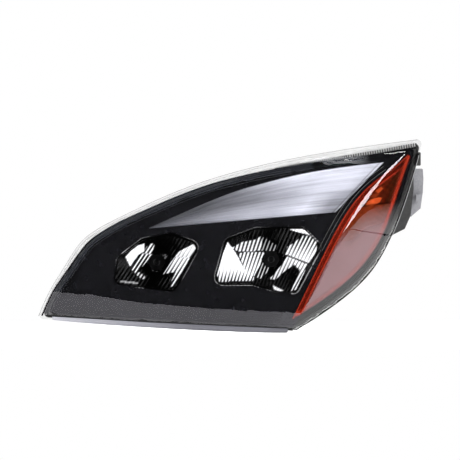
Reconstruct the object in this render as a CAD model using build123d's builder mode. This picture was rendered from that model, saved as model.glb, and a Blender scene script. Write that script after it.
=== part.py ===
"""Left-hand headlight assembly with low beam, high beam, running light and amber side lamp.

Units are millimetres. +X points outboard, +Y rearwards into the vehicle and +Z up. The origin is
the centre of the four mounting holes, on the plane of the mounting bosses' rear faces.
"""

import os
from functools import cache
from math import acos, cos, pi, radians, sin, tan

from build123d import *

# --- Lens surface: three tangent arcs across a leaning bend line, rolled about an axis behind it ---
LENS_FRONT = 265.0  # foremost point of the lens, ahead of the mounting plane
FORM_Z = 50.0  # height at which the rolled surface is foremost
LEAN = 30.0  # degrees that the bend line leans outboard from the vertical
ROLL_RADIUS = 650.0  # curvature along the bend line
ROLL_HALF_ANGLE = 46.0
FOREMOST_U = -80.0  # place of the foremost point across the bend line
FACE_RADIUS, FACE_TURN = 1400.0, 7.0  # nearly flat front
BEND_RADIUS, BEND_TURN = 100.0, 38.0  # the corner of the vehicle
SIDE_RADIUS, SIDE_TURN = 800.0, 18.0  # wraps back along the side
INNER_TURN = 10.0  # from the foremost point to the inboard tip
FORM_REACH = 350.0  # how far behind its front the solid form goes
SPLINE_SPAN = 30.0  # spacing of the points along a redrawn outline

# --- Shell thicknesses, and insets from the outer face of the lens wall ---
FLANGE_WIDTH = 4.5
WALL_SHIFT = (2.0, -1.5)  # the lens wall's place inside the flange
LENS_WALL = 3.0
SEAL_WIDTH = 1.0
HOUSING_WALL = 2.8
TRIM_WALL = 2.5
EDGE_ROUND = 8.0
HULL_ROUND = 22.0  # edges round the housing's back wall
TONGUE_INSET = LENS_WALL + SEAL_WIDTH
CAVITY_INSET = TONGUE_INSET + HOUSING_WALL
BEZEL_INSET = CAVITY_INSET + 1.2

# --- Depths behind the lens's outer face ---
FLANGE_DEPTH = 14.0
TONGUE_DEPTH = 10.0
SKIRT_DEPTH = 26.0
BEZEL_DEPTH = 9.0
POD_DEPTH = 26.0
BEAM_RIM_DEPTH = 36.0
GUIDE_DEPTH = 12.0
GUIDE_TRAY_DEPTH = 46.0
SIDE_LENS_DEPTH = 11.0
SIDE_TRAY_DEPTH = 60.0

# --- Planes across the depth of the lamp ---
BACK_WALL = -60.0  # rear face of the housing's back wall
SIDE_BACK = -8.0  # rear face of the housing's outboard step
VERTEX_Y = -112.0  # reflector vertex
CARRIER_FRONT, CARRIER_BACK = -102.0, -98.0
BALL_Y = -88.0
NECK_FRONT, NECK_BACK = -116.0, -94.0

# --- Beams: centres of the two bulb axes, as (x, z) ---
LOW_BEAM = (70.0, 5.0)
HIGH_BEAM = (-125.0, 0.0)
FOCAL_LENGTH = 24.0
MIRROR_WALL = 3.0  # reflector wall, measured along Y
BEAM_OVERLAP = 4.2  # reflector edge beyond the bezel opening
BEAM_WALL = 2.5
POD_FLARE = 6.0  # how much wider the bezel's tunnels are at their front
NECK_RADIUS, NECK_BORE = 20.0, 13.5
EAR_X, EAR_Z = 45.0, 30.0
EAR_RADIUS = 5.0
SCREW_RADIUS, SCREW_HEAD = 1.8, 4.0

# --- Aiming: fixed ball, vertical adjuster below it and horizontal adjuster beside it ---
PIVOT = (-40.0, 45.0)
VERTICAL_AIM = (-40.0, -55.0)
HORIZONTAL_AIM = (150.0, 45.0)
BALL_RADIUS = 5.0
BALL_PLAY = 0.3
LINER_RADIUS = 6.8
CUP_RADIUS = 10.0
STUD_RADIUS = 3.0
STUD_END = -30.0
RUNNING = 0.05  # radial clearance where a piece turns in its seat
GEAR_TEETH = 18
GEAR_MODULE = 1.0
GEAR_BACKLASH = 0.25
GEAR_DISTANCE = GEAR_TEETH * GEAR_MODULE + 0.2
GEAR_FRONT, GEAR_BACK = -53.0, -45.0
HUB_RADIUS = 5.0
BOX_FRONT, BOX_BACK, COVER_BACK = -59.9, -38.0, -35.5
BOX_RADIUS = 13.0
BOX_WALL = 2.4

# --- Fixing to the vehicle ---
MOUNT_SPACING_X, MOUNT_SPACING_Z = 260.0, 130.0
MOUNT_HOLE_RADIUS = 3.3
INSERT_RADIUS, INSERT_LENGTH = 5.0, 14.0
BOSS_RADIUS, BOSS_FRONT = 9.0, -72.0
LOBE_FRONT = -22.0  # fixing lobe beside the lens
BRACKET_FRONT, BRACKET_BACK = SIDE_BACK, SIDE_BACK + 3.0
BRACKET_SCREWS = ((299.0, 84.0), (308.0, 132.0))
EYE = Vector(321.5, -17.0, 110.0)  # centre of the bracket's eye, whose hole runs along X
EYE_WIDTH, EYE_HEIGHT = 7.0, 12.0

# --- Access caps behind the two bulbs ---
COLLAR_RADIUS, COLLAR_WALL, COLLAR_BACK = 40.0, 3.0, -22.0
CAP_INNER, CAP_OUTER = 44.0, 46.5
CAP_FRONT, CAP_PLATE, CAP_BACK = -40.0, -19.0, -16.0
LUG_ARC = 20.0

# --- Side lamp bulb, vents and connector, as (x, z) ---
SIDE_BULB = (244.0, 118.0)
SOCKET_BORE = 11.0
VENTS = ((-195.0, 0.0), (200.0, 60.0))
CONNECTOR = (40.0, 85.0)

# The sketch plane lies in front of the lamp and looks rearwards
VIEW = Plane.XZ.offset(LENS_FRONT + 20)
VIEW_REACH = LENS_FRONT + 80

ACROSS = Vector(cos(radians(LEAN)), 0, -sin(radians(LEAN)))
ALONG = Vector(sin(radians(LEAN)), 0, cos(radians(LEAN)))
REARWARD = Vector(0, 1, 0)


def rear_plane(y):
    """Sketch plane at depth y that faces rearwards; local x is -X and local y is +Z."""
    return Plane(origin=(0, y, 0), x_dir=(-1, 0, 0), z_dir=(0, 1, 0))


def rear_spot(place, y):
    """Location at (x, z) on the rearward-facing plane at depth y, with its z axis rearwards."""
    return Location(Plane(origin=(place[0], y, place[1]), x_dir=(-1, 0, 0), z_dir=(0, 1, 0)))


@cache
def form(depth):
    """Solid of everything behind the surface that lies `depth` behind the lens's outer face."""
    centre = Vector(0, ROLL_RADIUS - LENS_FRONT, FORM_Z)
    tilt = radians(ROLL_HALF_ANGLE)
    start = Plane(origin=centre, x_dir=ACROSS, z_dir=ALONG * cos(tilt) + REARWARD * sin(tilt))
    with BuildPart() as body:
        with BuildSketch(start):
            with BuildLine():
                foremost = (FOREMOST_U, depth - ROLL_RADIUS)
                inner = JernArc(foremost, (-1, 0), FACE_RADIUS - depth, -INNER_TURN)
                face = JernArc(foremost, (1, 0), FACE_RADIUS - depth, FACE_TURN)
                bend = JernArc(face @ 1, face % 1, BEND_RADIUS - depth, BEND_TURN)
                side = JernArc(bend @ 1, bend % 1, SIDE_RADIUS - depth, SIDE_TURN)
                back = FORM_REACH - ROLL_RADIUS
                tip, end = inner @ 1, side @ 1
                Polyline(tip, (tip.X, back), (end.X, back), end)
            make_face()
        revolve(axis=Axis(centre, ACROSS), revolution_arc=2 * ROLL_HALF_ANGLE)
    return body.part


def retraced(outline):
    """The same outline with its offset curves redrawn as plain splines through points on them."""
    with BuildSketch() as sketch:
        with BuildLine():
            for edge in outline.wires()[0].order_edges():
                if edge.geom_type in (GeomType.LINE, GeomType.CIRCLE):
                    add(edge)
                else:
                    spans = max(3, round(edge.length / SPLINE_SPAN))
                    points = [edge @ (step / spans) for step in range(spans + 1)]
                    Spline(*points, tangents=(edge % 0, edge % 1))
        make_face()
    return sketch.sketch


def rounded(outline, inset, radius):
    """The outline's face moved inwards by `inset`, with its outward corners rounded."""
    with BuildSketch() as sketch:
        add(outline)
        offset(amount=-(inset + radius))
        offset(amount=radius)
    return retraced(sketch.sketch)


def lens_edge():
    """Outer edge of the lens flange: an arched top, a raked outboard side and a straight bottom."""
    tip, corner, foot = (-328, -96), (330, 211), (107, -120)
    inboard_rise = ((-305, -45), (-279, -3), (-250, 38), (-223, 58), (-187, 77))
    outboard_fall = ((303, 115), (264, 20), (245, -11), (192, -63))
    with BuildSketch() as sketch:
        with BuildLine():
            Spline(tip, *inboard_rise, (-72, 128), (88, 173), corner)
            Spline(corner, *outboard_fall, foot)
            Line(foot, tip)
        make_face()
    return sketch.sketch


def guide_edge():
    """Running light: a crescent with a straight lower edge."""
    tip, foot, corner = (-143, 57), (180, 85), (263, 171)
    with BuildSketch() as sketch:
        with BuildLine():
            Spline(tip, (-66, 91), (10, 121), (92, 149), corner)
            Line(corner, foot)
            Line(foot, tip)
        make_face()
    return sketch.sketch


def side_lamp_edge():
    """Amber side lamp: a tall wedge that follows the outboard side."""
    foot, top, shoulder = (104, -99), (303, 184), (309, 180)
    with BuildSketch() as sketch:
        with BuildLine():
            Spline(foot, (157, 10), (178, 51), (233, 127), (289, 171), top)
            Line(top, shoulder)
            Spline(shoulder, (287, 117), (262, 49), (232, 1), (167, -58), foot)
        make_face()
    return sketch.sketch


def low_beam_edge():
    """Low-beam opening in the bezel."""
    with BuildSketch() as sketch:
        with BuildLine():
            Polyline(
                (-24, -34), (-4, 36), (44, 54), (122, 57), (155, 27),
                (113, -52), (76, -46), (39, -34), close=True,
            )  # fmt: skip
        make_face()
    return sketch.sketch


def high_beam_edge():
    """High-beam opening in the bezel."""
    with BuildSketch() as sketch:
        with BuildLine():
            Polyline((-194, -34), (-188, 6), (-148, 36), (-100, 45), (-56, 29), (-96, -46), close=True)
        make_face()
    return sketch.sketch


@cache
def flange_outline(grow=0.0):
    return rounded(lens_edge(), -grow, EDGE_ROUND)


@cache
def lens_outline(inset):
    """The outer face of the lens wall moved inwards; the flange is wider on top and inboard."""
    with BuildSketch() as sketch:
        with Locations(WALL_SHIFT):
            add(rounded(lens_edge(), FLANGE_WIDTH + inset, EDGE_ROUND))
    return sketch.sketch


@cache
def guide_outline(inset):
    return rounded(guide_edge(), inset, 1.2)


@cache
def side_outline(inset):
    return rounded(side_lamp_edge(), inset, 2.0)


@cache
def beam_outline(edge, grow):
    """A beam opening, moved outwards by `grow`."""
    with BuildSketch() as sketch:
        add(rounded(edge(), 0.0, 9.0))
        if grow:
            offset(amount=grow)
    return sketch.sketch


def prism(outline, front, back):
    """An outline drawn in the front view, extruded between two depths along Y."""
    with BuildPart() as body:
        with BuildSketch(Plane.XZ.offset(-front)):
            add(outline)
        extrude(amount=front - back)
    return body.part


def slab(outline, front, back=None):
    """An outline's prism between two depths behind the lens's outer face, or back to the rear."""
    with BuildPart() as body:
        with BuildSketch(VIEW):
            add(outline)
        extrude(amount=-VIEW_REACH)
        add(form(front), mode=Mode.INTERSECT)
        if back is not None:
            add(form(back), mode=Mode.SUBTRACT)
    return body.part


def round_bar(place, radius, front, back):
    """A round bar along Y, from depth `front` to depth `back`."""
    with BuildPart() as body:
        with Locations(rear_spot(place, front)):
            Cylinder(radius, back - front, align=(Align.CENTER, Align.CENTER, Align.MIN))
    return body.part


def ring(place, outer, inner, front, back):
    with BuildPart() as body:
        with BuildSketch(rear_plane(front)):
            with Locations((-place[0], place[1])):
                Circle(outer)
                Circle(inner, mode=Mode.SUBTRACT)
        extrude(amount=back - front)
    return body.part


def ball(place, radius):
    with BuildPart() as body:
        with Locations((place[0], BALL_Y, place[1])):
            Sphere(radius)
    return body.part


def lugs(place, inner, outer, front, back, turn=0.0, arc=LUG_ARC, count=3):
    """Equal arc-shaped lugs around an axis along Y."""
    centre = (-place[0], place[1])
    reach = outer * 2
    half = reach * tan(radians(arc / 2))
    with BuildPart() as body:
        with BuildSketch(rear_plane(front)):
            with Locations(centre):
                with PolarLocations(0, count, start_angle=turn):
                    Polygon((0, 0), (reach, -half), (reach, half), align=None)
            with Locations(centre):
                Circle(outer, mode=Mode.INTERSECT)
                Circle(inner, mode=Mode.SUBTRACT)
        extrude(amount=back - front)
    return body.part


def block(place, width, height, front, back, radius=1.0):
    """A rounded box along Y, centred at (x, z)."""
    with BuildPart() as body:
        with BuildSketch(rear_plane(front)):
            with Locations((-place[0], place[1])):
                RectangleRounded(width, height, radius)
        extrude(amount=back - front)
    return body.part


def shifted(place, right=0.0, up=0.0):
    return (place[0] + right, place[1] + up)


def mount_places():
    half_x, half_z = MOUNT_SPACING_X / 2, MOUNT_SPACING_Z / 2
    return [(x, z) for x in (-half_x, half_x) for z in (-half_z, half_z)]


def save(node, piece):
    """Labels a finished piece and writes its STEP file."""
    piece.part.label = node
    export_step(piece.part, f"parts/{node}.step")


# ---------------------------------------------------------------- clear lens and its seal
def make_lens():
    bowl = slab(lens_outline(0), 0, SKIRT_DEPTH)
    hollow = slab(lens_outline(LENS_WALL), LENS_WALL)
    flange = slab(flange_outline(), FLANGE_DEPTH, FLANGE_DEPTH + LENS_WALL)
    with BuildPart() as lens:
        add(bowl)
        add(flange)
        add(hollow, mode=Mode.SUBTRACT)
    save("lens", lens)


def make_lens_seal():
    bead = slab(lens_outline(LENS_WALL), TONGUE_DEPTH + 2, SKIRT_DEPTH)
    tongue = slab(lens_outline(TONGUE_INSET), TONGUE_DEPTH)
    with BuildPart() as seal:
        add(bead)
        add(tongue, mode=Mode.SUBTRACT)
    save("lens_seal", seal)


# ---------------------------------------------------------------- black housing
@cache
def hull(inset):
    """The housing's slanted back moved inwards by `inset`: a cut box with an outboard step."""
    chord = Vector(0.908, 0, 0.419)
    slopes = (
        (Vector(0, BACK_WALL, 130), chord, Vector(-0.399, 0.305, 0.865)),
        (Vector(0, BACK_WALL, -92), Vector(1, 0, 0), Vector(0, 0.26, -0.966)),
        (Vector(-228, BACK_WALL, 0), Vector(0, 0, 1), Vector(-0.80, 0.60, 0)),
    )
    step_slopes = (
        (Vector(262, BACK_WALL, 0), Vector(0, 0, 1), Vector(-0.962, 0.272, 0)),
        (Vector(0, BACK_WALL, 20), Vector(1, 0, 0), Vector(0, 0.260, -0.966)),
    )
    with BuildPart() as main:
        with Locations((0, BACK_WALL - inset, 50)):
            Box(800, 400, 600, align=(Align.CENTER, Align.MAX, Align.CENTER))
        for origin, along, normal in slopes:
            slope = Plane(origin=origin, x_dir=along, z_dir=normal)
            split(bisect_by=slope.offset(-inset), keep=Keep.BOTTOM)
        back = main.faces().sort_by(Axis.Y)[-1]
        sloping = back.edges().filter_by(lambda edge: edge.center().X < 390 and edge.center().Z < 300)
        fillet(sloping, HULL_ROUND - inset)
    with BuildPart() as step:
        with Locations((300, SIDE_BACK - inset, 50)):
            Box(200, 200, 600, align=(Align.CENTER, Align.MAX, Align.CENTER))
        for origin, along, normal in step_slopes:
            slope = Plane(origin=origin, x_dir=along, z_dir=normal)
            split(bisect_by=slope.offset(-inset), keep=Keep.BOTTOM)
    return main.part + step.part


@cache
def cavity():
    """The air space inside the housing."""
    with BuildPart() as space:
        add(slab(lens_outline(CAVITY_INSET), TONGUE_DEPTH - 2))
        add(hull(HOUSING_WALL), mode=Mode.INTERSECT)
    return space.part


def lobe_edge():
    """Fixing lobe beside the lens, seen from the front."""
    with BuildSketch() as sketch:
        with BuildLine():
            Polyline(
                (262, 35), (275, 45), (299, 57), (309, 80), (314, 125), (314, 150), (262, 150),
                close=True,
            )  # fmt: skip
        make_face()
    return rounded(sketch.sketch, 0.0, 3.0)


def bracket_edge():
    """Metal bracket behind the lobe, seen from the front."""
    with BuildSketch() as sketch:
        with BuildLine():
            Polyline(
                (314, 160), (330, 160), (331, 143), (330, 120), (326, 92), (310, 78), (294, 74), (302, 140),
                close=True,
            )  # fmt: skip
        make_face()
    return rounded(sketch.sketch, 0.0, 2.0)


def lobe_pocket():
    """The part of the lobe outside the shell, which is hollow from behind."""
    with BuildSketch() as sketch:
        add(lobe_edge())
        offset(amount=-2.5)
        add(lens_outline(TONGUE_INSET), mode=Mode.SUBTRACT)
        for place in BRACKET_SCREWS:
            with Locations(place):
                Circle(5.0, mode=Mode.SUBTRACT)
    return sketch.sketch


def make_housing():
    lens_space = slab(lens_outline(-0.5), 0, SKIRT_DEPTH + 0.4)
    flange_space = slab(flange_outline(0.5), 0, FLANGE_DEPTH + LENS_WALL + 0.3)
    ledge = slab(lens_outline(0), SKIRT_DEPTH + 0.3, SKIRT_DEPTH + 4)
    tongue = slab(lens_outline(TONGUE_INSET), TONGUE_DEPTH)
    with BuildPart() as lobe:
        add(prism(lobe_edge(), LOBE_FRONT, SIDE_BACK))
        add(block((308, 176.5), 36, 23, -40, -20, 2.0))
        add(lens_space, mode=Mode.SUBTRACT)
        add(flange_space, mode=Mode.SUBTRACT)
        add(prism(lobe_pocket(), LOBE_FRONT + 3, 0), mode=Mode.SUBTRACT)
    with BuildPart() as shell:
        add(tongue)
        add(hull(0), mode=Mode.INTERSECT)
        add(ledge)
        add(lobe.part)
        add(cavity(), mode=Mode.SUBTRACT)

    wall_front = BACK_WALL - HOUSING_WALL
    beams = (LOW_BEAM, HIGH_BEAM)
    half_x, half_z = MOUNT_SPACING_X / 2, MOUNT_SPACING_Z / 2
    solids = [round_bar(place, BOSS_RADIUS, BOSS_FRONT, 0) for place in mount_places()]
    solids += [round_bar(beam, COLLAR_RADIUS, wall_front, COLLAR_BACK) for beam in beams]
    solids += [lugs(beam, COLLAR_RADIUS - 1, 43.4, -34, -30) for beam in beams]
    solids += [round_bar(vent, 4.0, BACK_WALL - 1, -50) for vent in VENTS]
    solids.append(round_bar(PIVOT, BOSS_RADIUS, wall_front, -42))
    solids.append(block(CONNECTOR, 38, 26, wall_front, -34, 3.0))
    for place, width, height in (
        ((0, half_z), MOUNT_SPACING_X, 2.4),
        ((60, -half_z), MOUNT_SPACING_X - 120, 2.4),
        ((half_x - 6, 0), 2.4, MOUNT_SPACING_Z),
        ((-half_x, 0), 2.4, MOUNT_SPACING_Z),
    ):
        solids.append(block(place, width, height, BACK_WALL - 1, -44, 0.5))

    voids = [round_bar(beam, COLLAR_RADIUS - COLLAR_WALL, -80, 0) for beam in beams]
    voids += [round_bar(place, INSERT_RADIUS, -INSERT_LENGTH, 1) for place in mount_places()]
    voids += [round_bar(place, 3.5, -52, 0) for place in mount_places()]
    voids += [round_bar(place, STUD_RADIUS + 0.3, -80, 0) for place in (VERTICAL_AIM, HORIZONTAL_AIM)]
    voids += [round_bar(vent, 2.0, -80, 0) for vent in VENTS]
    voids += [round_bar(place, SCREW_RADIUS + 0.05, LOBE_FRONT + 2, 0) for place in BRACKET_SCREWS]
    voids.append(round_bar(PIVOT, 4.0, -80, 0))
    voids.append(round_bar(SIDE_BULB, SOCKET_BORE, -80, 0))
    voids.append(lugs(SIDE_BULB, SOCKET_BORE - 2, 14.2, -80, 0, turn=60, arc=26))
    voids.append(block(CONNECTOR, 33, 21, -80, 0, 2.0))

    with BuildPart() as housing:
        add(shell.part)
        for solid in solids:
            add(solid)
        for void in voids:
            add(void, mode=Mode.SUBTRACT)
    save("housing", housing)


def make_inserts():
    with BuildPart() as inserts:
        for place in mount_places():
            add(ring(place, INSERT_RADIUS, MOUNT_HOLE_RADIUS, -INSERT_LENGTH, 0))
    save("mounting_inserts", inserts)


# ---------------------------------------------------------------- outer bracket
def make_bracket():
    with BuildPart() as bracket:
        add(prism(bracket_edge(), BRACKET_FRONT, BRACKET_BACK))
        add(block((EYE.X, EYE.Z), EYE_WIDTH, EYE_HEIGHT, EYE.Y - EYE_HEIGHT / 2, BRACKET_FRONT + 1))
        with Locations(Location(Plane(origin=EYE, z_dir=(1, 0, 0)))):
            Cylinder(MOUNT_HOLE_RADIUS, 2 * EYE_WIDTH, mode=Mode.SUBTRACT)
        for place in BRACKET_SCREWS:
            add(round_bar(place, SCREW_RADIUS + 0.2, -60, 0), mode=Mode.SUBTRACT)
    save("outer_bracket", bracket)


def screw(place, seat, tip):
    """A pan-head screw along Y, from its head's seat to its tip."""
    outwards = -1 if tip > seat else 1
    top = seat + outwards * 2.4
    slot = sorted((top, top - outwards * 1.2))
    with BuildPart() as body:
        add(round_bar(place, SCREW_RADIUS, *sorted((seat, tip))))
        add(round_bar(place, SCREW_HEAD, *sorted((seat, top))))
        add(block(place, 4.6, 1.1, *slot, 0.3), mode=Mode.SUBTRACT)
        add(block(place, 1.1, 4.6, *slot, 0.3), mode=Mode.SUBTRACT)
    return body.part


def make_bracket_screws():
    with BuildPart() as screws:
        for place in BRACKET_SCREWS:
            add(screw(place, BRACKET_BACK, LOBE_FRONT + 4))
    save("bracket_screws", screws)


# ---------------------------------------------------------------- bezel
@cache
def tunnel(edge, grow):
    """The space of a beam's tunnel: wide at the front and the size of the opening at the back."""
    front, back = -LENS_FRONT - 20, -180
    with BuildPart() as body:
        with BuildSketch(Plane.XZ.offset(-front)):
            add(beam_outline(edge, POD_FLARE * 1.5 + grow))
        with BuildSketch(Plane.XZ.offset(-back)):
            add(beam_outline(edge, grow))
        loft(ruled=True)
    return body.part


def make_bezel():
    plate = slab(lens_outline(BEZEL_INSET), BEZEL_DEPTH, BEZEL_DEPTH + TRIM_WALL)
    ridges = []
    for inset in (7.0, 10.5):
        with BuildSketch() as line:
            add(lens_outline(BEZEL_INSET + inset))
            add(lens_outline(BEZEL_INSET + inset + 1.2), mode=Mode.SUBTRACT)
        ridges.append(slab(line.sketch, BEZEL_DEPTH - 0.8, BEZEL_DEPTH + 0.5))
    with BuildPart() as pods:
        for edge in (low_beam_edge, high_beam_edge):
            add(tunnel(edge, TRIM_WALL))
        add(form(BEZEL_DEPTH + 0.5), mode=Mode.INTERSECT)
        add(form(POD_DEPTH), mode=Mode.SUBTRACT)
    with BuildPart() as bezel:
        add(plate)
        for ridge in ridges:
            add(ridge)
        add(pods.part)
        for edge in (low_beam_edge, high_beam_edge):
            add(tunnel(edge, 0), mode=Mode.SUBTRACT)
        add(slab(guide_outline(0), 0, 30), mode=Mode.SUBTRACT)
        add(slab(side_outline(0), 0, 30), mode=Mode.SUBTRACT)
    save("bezel", bezel)


# ---------------------------------------------------------------- running light
def make_guide():
    pane = slab(guide_outline(0.6), BEZEL_DEPTH - 0.5, GUIDE_DEPTH + 2.5)
    flange = slab(guide_outline(-3), GUIDE_DEPTH, GUIDE_DEPTH + 2.5)
    with BuildPart() as guide:
        add(pane)
        add(flange)
    save("drl_guide", guide)


def make_guide_tray():
    outside = slab(guide_outline(-3), GUIDE_DEPTH + 2.7, GUIDE_TRAY_DEPTH)
    inside = slab(guide_outline(-0.8), GUIDE_DEPTH, GUIDE_TRAY_DEPTH - 2.2)
    with BuildPart() as tray:
        add(outside)
        add(inside, mode=Mode.SUBTRACT)
    save("drl_tray", tray)


def make_guide_board():
    with BuildPart() as board:
        add(slab(guide_outline(2), 38, 39.6))
    save("drl_board", board)
    with BuildSketch() as pads:
        for step in range(13):
            with Locations((-84 + 25 * step, 70 + 5.5 * step)):
                Rectangle(3.5, 3.5)
    with BuildPart() as leds:
        add(slab(pads.sketch, 36.8, 38))
    save("drl_leds", leds)


# ---------------------------------------------------------------- amber side lamp
def make_side_lens():
    pane = slab(side_outline(0.6), SIDE_LENS_DEPTH, SIDE_LENS_DEPTH + 2.5)
    flange = slab(side_outline(-1.5), SIDE_LENS_DEPTH + 1.0, SIDE_LENS_DEPTH + 2.5)
    with BuildSketch() as line:
        add(side_outline(0.6))
        add(side_outline(4.6), mode=Mode.SUBTRACT)
    with BuildPart() as lens:
        add(pane)
        add(flange)
        add(slab(line.sketch, BEZEL_DEPTH - 0.5, SIDE_LENS_DEPTH + 1))
    save("side_lens", lens)


def make_side_reflector():
    outside = slab(side_outline(-1.5), SIDE_LENS_DEPTH + 2.7, SIDE_TRAY_DEPTH)
    inside = slab(side_outline(0.6), SIDE_LENS_DEPTH, SIDE_TRAY_DEPTH - 2.2)
    with BuildPart() as hollow:
        add(inside)
        split(bisect_by=Plane.XZ.offset(68.4), keep=Keep.TOP)
    with BuildPart() as reflector:
        add(outside)
        split(bisect_by=Plane.XZ.offset(66), keep=Keep.TOP)
        add(hollow.part, mode=Mode.SUBTRACT)
        add(round_bar(SIDE_BULB, 12.0, -100, -50), mode=Mode.SUBTRACT)
    save("side_reflector", reflector)


def make_side_bulb():
    grip = block(SIDE_BULB, 6, 26, -57, -44, 2.0)
    tabs = lugs(SIDE_BULB, 8, 13.4, -66, -63.1)
    with BuildPart() as socket:
        add(round_bar(SIDE_BULB, 15.0, BACK_WALL + 0.1, -57))
        add(round_bar(SIDE_BULB, SOCKET_BORE - RUNNING, -66, -59))
        add(round_bar(SIDE_BULB, 8.5, -84, -60))
        add(tabs)
        add(grip)
        add(block(SIDE_BULB, 16, 4, -90, -80, 1.0), mode=Mode.SUBTRACT)
    save("side_socket", socket)
    with BuildPart() as bulb:
        with BuildSketch(Plane.YZ.offset(SIDE_BULB[0])):
            with BuildLine():
                height = SIDE_BULB[1]
                Line((-84.1, height), (-84.1, height + 4.0))
                Spline((-84.1, height + 4.0), (-92, height + 6.0), (-102, height + 7.5), (-112, height))
                Line((-112, height), (-84.1, height))
            make_face()
        revolve(axis=Axis((SIDE_BULB[0], 0, SIDE_BULB[1]), (0, 1, 0)))
        add(block(SIDE_BULB, 15, 3, -88, -80.2, 0.8))
    save("side_bulb", bulb)


# ---------------------------------------------------------------- reflectors and their carrier
def paraboloid(place, vertex):
    """Solid ahead of a paraboloid of revolution about the bulb axis."""
    reach = 120.0
    rise = reach**2 / (4 * FOCAL_LENGTH)
    plane = Plane(origin=(place[0], vertex, place[1]), x_dir=(1, 0, 0), z_dir=(0, 0, 1))
    with BuildPart() as body:
        with BuildSketch(plane):
            with BuildLine():
                Bezier((0, 0), (reach / 2, 0), (reach, -rise))
                Polyline((reach, -rise), (0, -rise), (0, 0))
            make_face()
        revolve(axis=Axis((place[0], 0, place[1]), (0, 1, 0)))
    return body.part


def ear_places(beam):
    return [shifted(beam, x, z) for x in (-EAR_X, EAR_X) for z in (-EAR_Z, EAR_Z)]


def make_reflector(node, beam, edge):
    inside = paraboloid(beam, VERTEX_Y)
    with BuildPart() as hollow:
        add(prism(beam_outline(edge, BEAM_OVERLAP - BEAM_WALL), -LENS_FRONT, -60))
        add(inside, mode=Mode.INTERSECT)
    slots = lugs(beam, NECK_BORE - 1, 16.4, -130, -80, turn=60, arc=26)
    with BuildPart() as reflector:
        add(prism(beam_outline(edge, BEAM_OVERLAP), -LENS_FRONT, -60))
        add(paraboloid(beam, VERTEX_Y + MIRROR_WALL), mode=Mode.INTERSECT)
        for place in ear_places(beam):
            add(round_bar(place, EAR_RADIUS, -150, CARRIER_FRONT))
        add(round_bar(beam, NECK_RADIUS, NECK_FRONT, NECK_BACK))
        add(form(BEAM_RIM_DEPTH), mode=Mode.INTERSECT)
        add(hollow.part, mode=Mode.SUBTRACT)
        add(round_bar(beam, NECK_BORE, -140, -80), mode=Mode.SUBTRACT)
        add(slots, mode=Mode.SUBTRACT)
        for place in ear_places(beam):
            add(round_bar(place, SCREW_RADIUS + 0.05, -116, -90), mode=Mode.SUBTRACT)
    save(node, reflector)


def make_carrier():
    with BuildSketch() as outline:
        with BuildLine():
            Polyline(
                (-184, -42), (-170, -60), (-150, -68), (100, -68), (124, -45), (164, 0), (168, 56),
                (155, 62), (-60, 62), (-180, 42), close=True,
            )  # fmt: skip
        make_face()
    plate_edge = rounded(outline.sketch, 0.0, 6.0)
    with BuildSketch() as lip:
        add(plate_edge)
        add(rounded(outline.sketch, 2.5, 6.0), mode=Mode.SUBTRACT)
    with BuildPart() as carrier:
        add(prism(plate_edge, CARRIER_FRONT, CARRIER_BACK))
        add(prism(lip.sketch, CARRIER_FRONT, -93))
        add(round_bar(PIVOT, CUP_RADIUS, CARRIER_BACK - 1, -85))
        for place in (VERTICAL_AIM, HORIZONTAL_AIM):
            add(block(place, 24, 24, CARRIER_BACK - 1, -95, 2.0))
        for beam in (LOW_BEAM, HIGH_BEAM):
            add(round_bar(beam, 24.0, -110, -80), mode=Mode.SUBTRACT)
            for place in ear_places(beam):
                add(round_bar(place, SCREW_RADIUS + 0.3, -110, -80), mode=Mode.SUBTRACT)
        add(ball(PIVOT, LINER_RADIUS + RUNNING), mode=Mode.SUBTRACT)
        for place in (VERTICAL_AIM, HORIZONTAL_AIM):
            add(round_bar(place, 6.5, -110, -80), mode=Mode.SUBTRACT)
    save("reflector_carrier", carrier)


def make_reflector_screws():
    with BuildPart() as screws:
        for beam in (LOW_BEAM, HIGH_BEAM):
            for place in ear_places(beam):
                add(screw(place, CARRIER_BACK, -113))
    save("reflector_screws", screws)


# ---------------------------------------------------------------- aiming
def make_pivot():
    with BuildPart() as stud:
        add(ball(PIVOT, BALL_RADIUS))
        add(round_bar(PIVOT, STUD_RADIUS, BALL_Y, -62))
        add(round_bar(PIVOT, 7.0, -66, BACK_WALL - HOUSING_WALL))
        add(round_bar(PIVOT, 3.95, -63, -40))
        add(round_bar(PIVOT, 6.0, -41.9, -39.5))
    save("pivot_stud", stud)
    with BuildPart() as liner:
        add(ball(PIVOT, LINER_RADIUS))
        split(bisect_by=Plane.XZ.offset(85), keep=Keep.TOP)
        add(ball(PIVOT, BALL_RADIUS + RUNNING), mode=Mode.SUBTRACT)
        add(round_bar(PIVOT, 4.6, BALL_Y, -70), mode=Mode.SUBTRACT)
    save("pivot_liner", liner)


def make_socket(node, place):
    """Snap-in socket that holds an adjuster's ball; its legs catch behind the carrier."""
    with BuildPart() as socket:
        add(round_bar(place, CUP_RADIUS, -94.9, -85))
        add(round_bar(place, 6.3, -103.5, -94))
        add(ring(place, 7.4, 5.0, -104.5, CARRIER_FRONT - 0.1))
        add(ball(place, BALL_RADIUS + BALL_PLAY), mode=Mode.SUBTRACT)
        add(round_bar(place, 4.6, BALL_Y, -70), mode=Mode.SUBTRACT)
        add(round_bar(place, 3.6, -110, -95), mode=Mode.SUBTRACT)
        add(block(place, 1.6, 30, -110, -98, 0.5), mode=Mode.SUBTRACT)
    save(node, socket)


def involute(radius, base):
    """Angle of an involute flank at a radius, in radians."""
    pressure = acos(base / radius)
    return tan(pressure) - pressure


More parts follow.
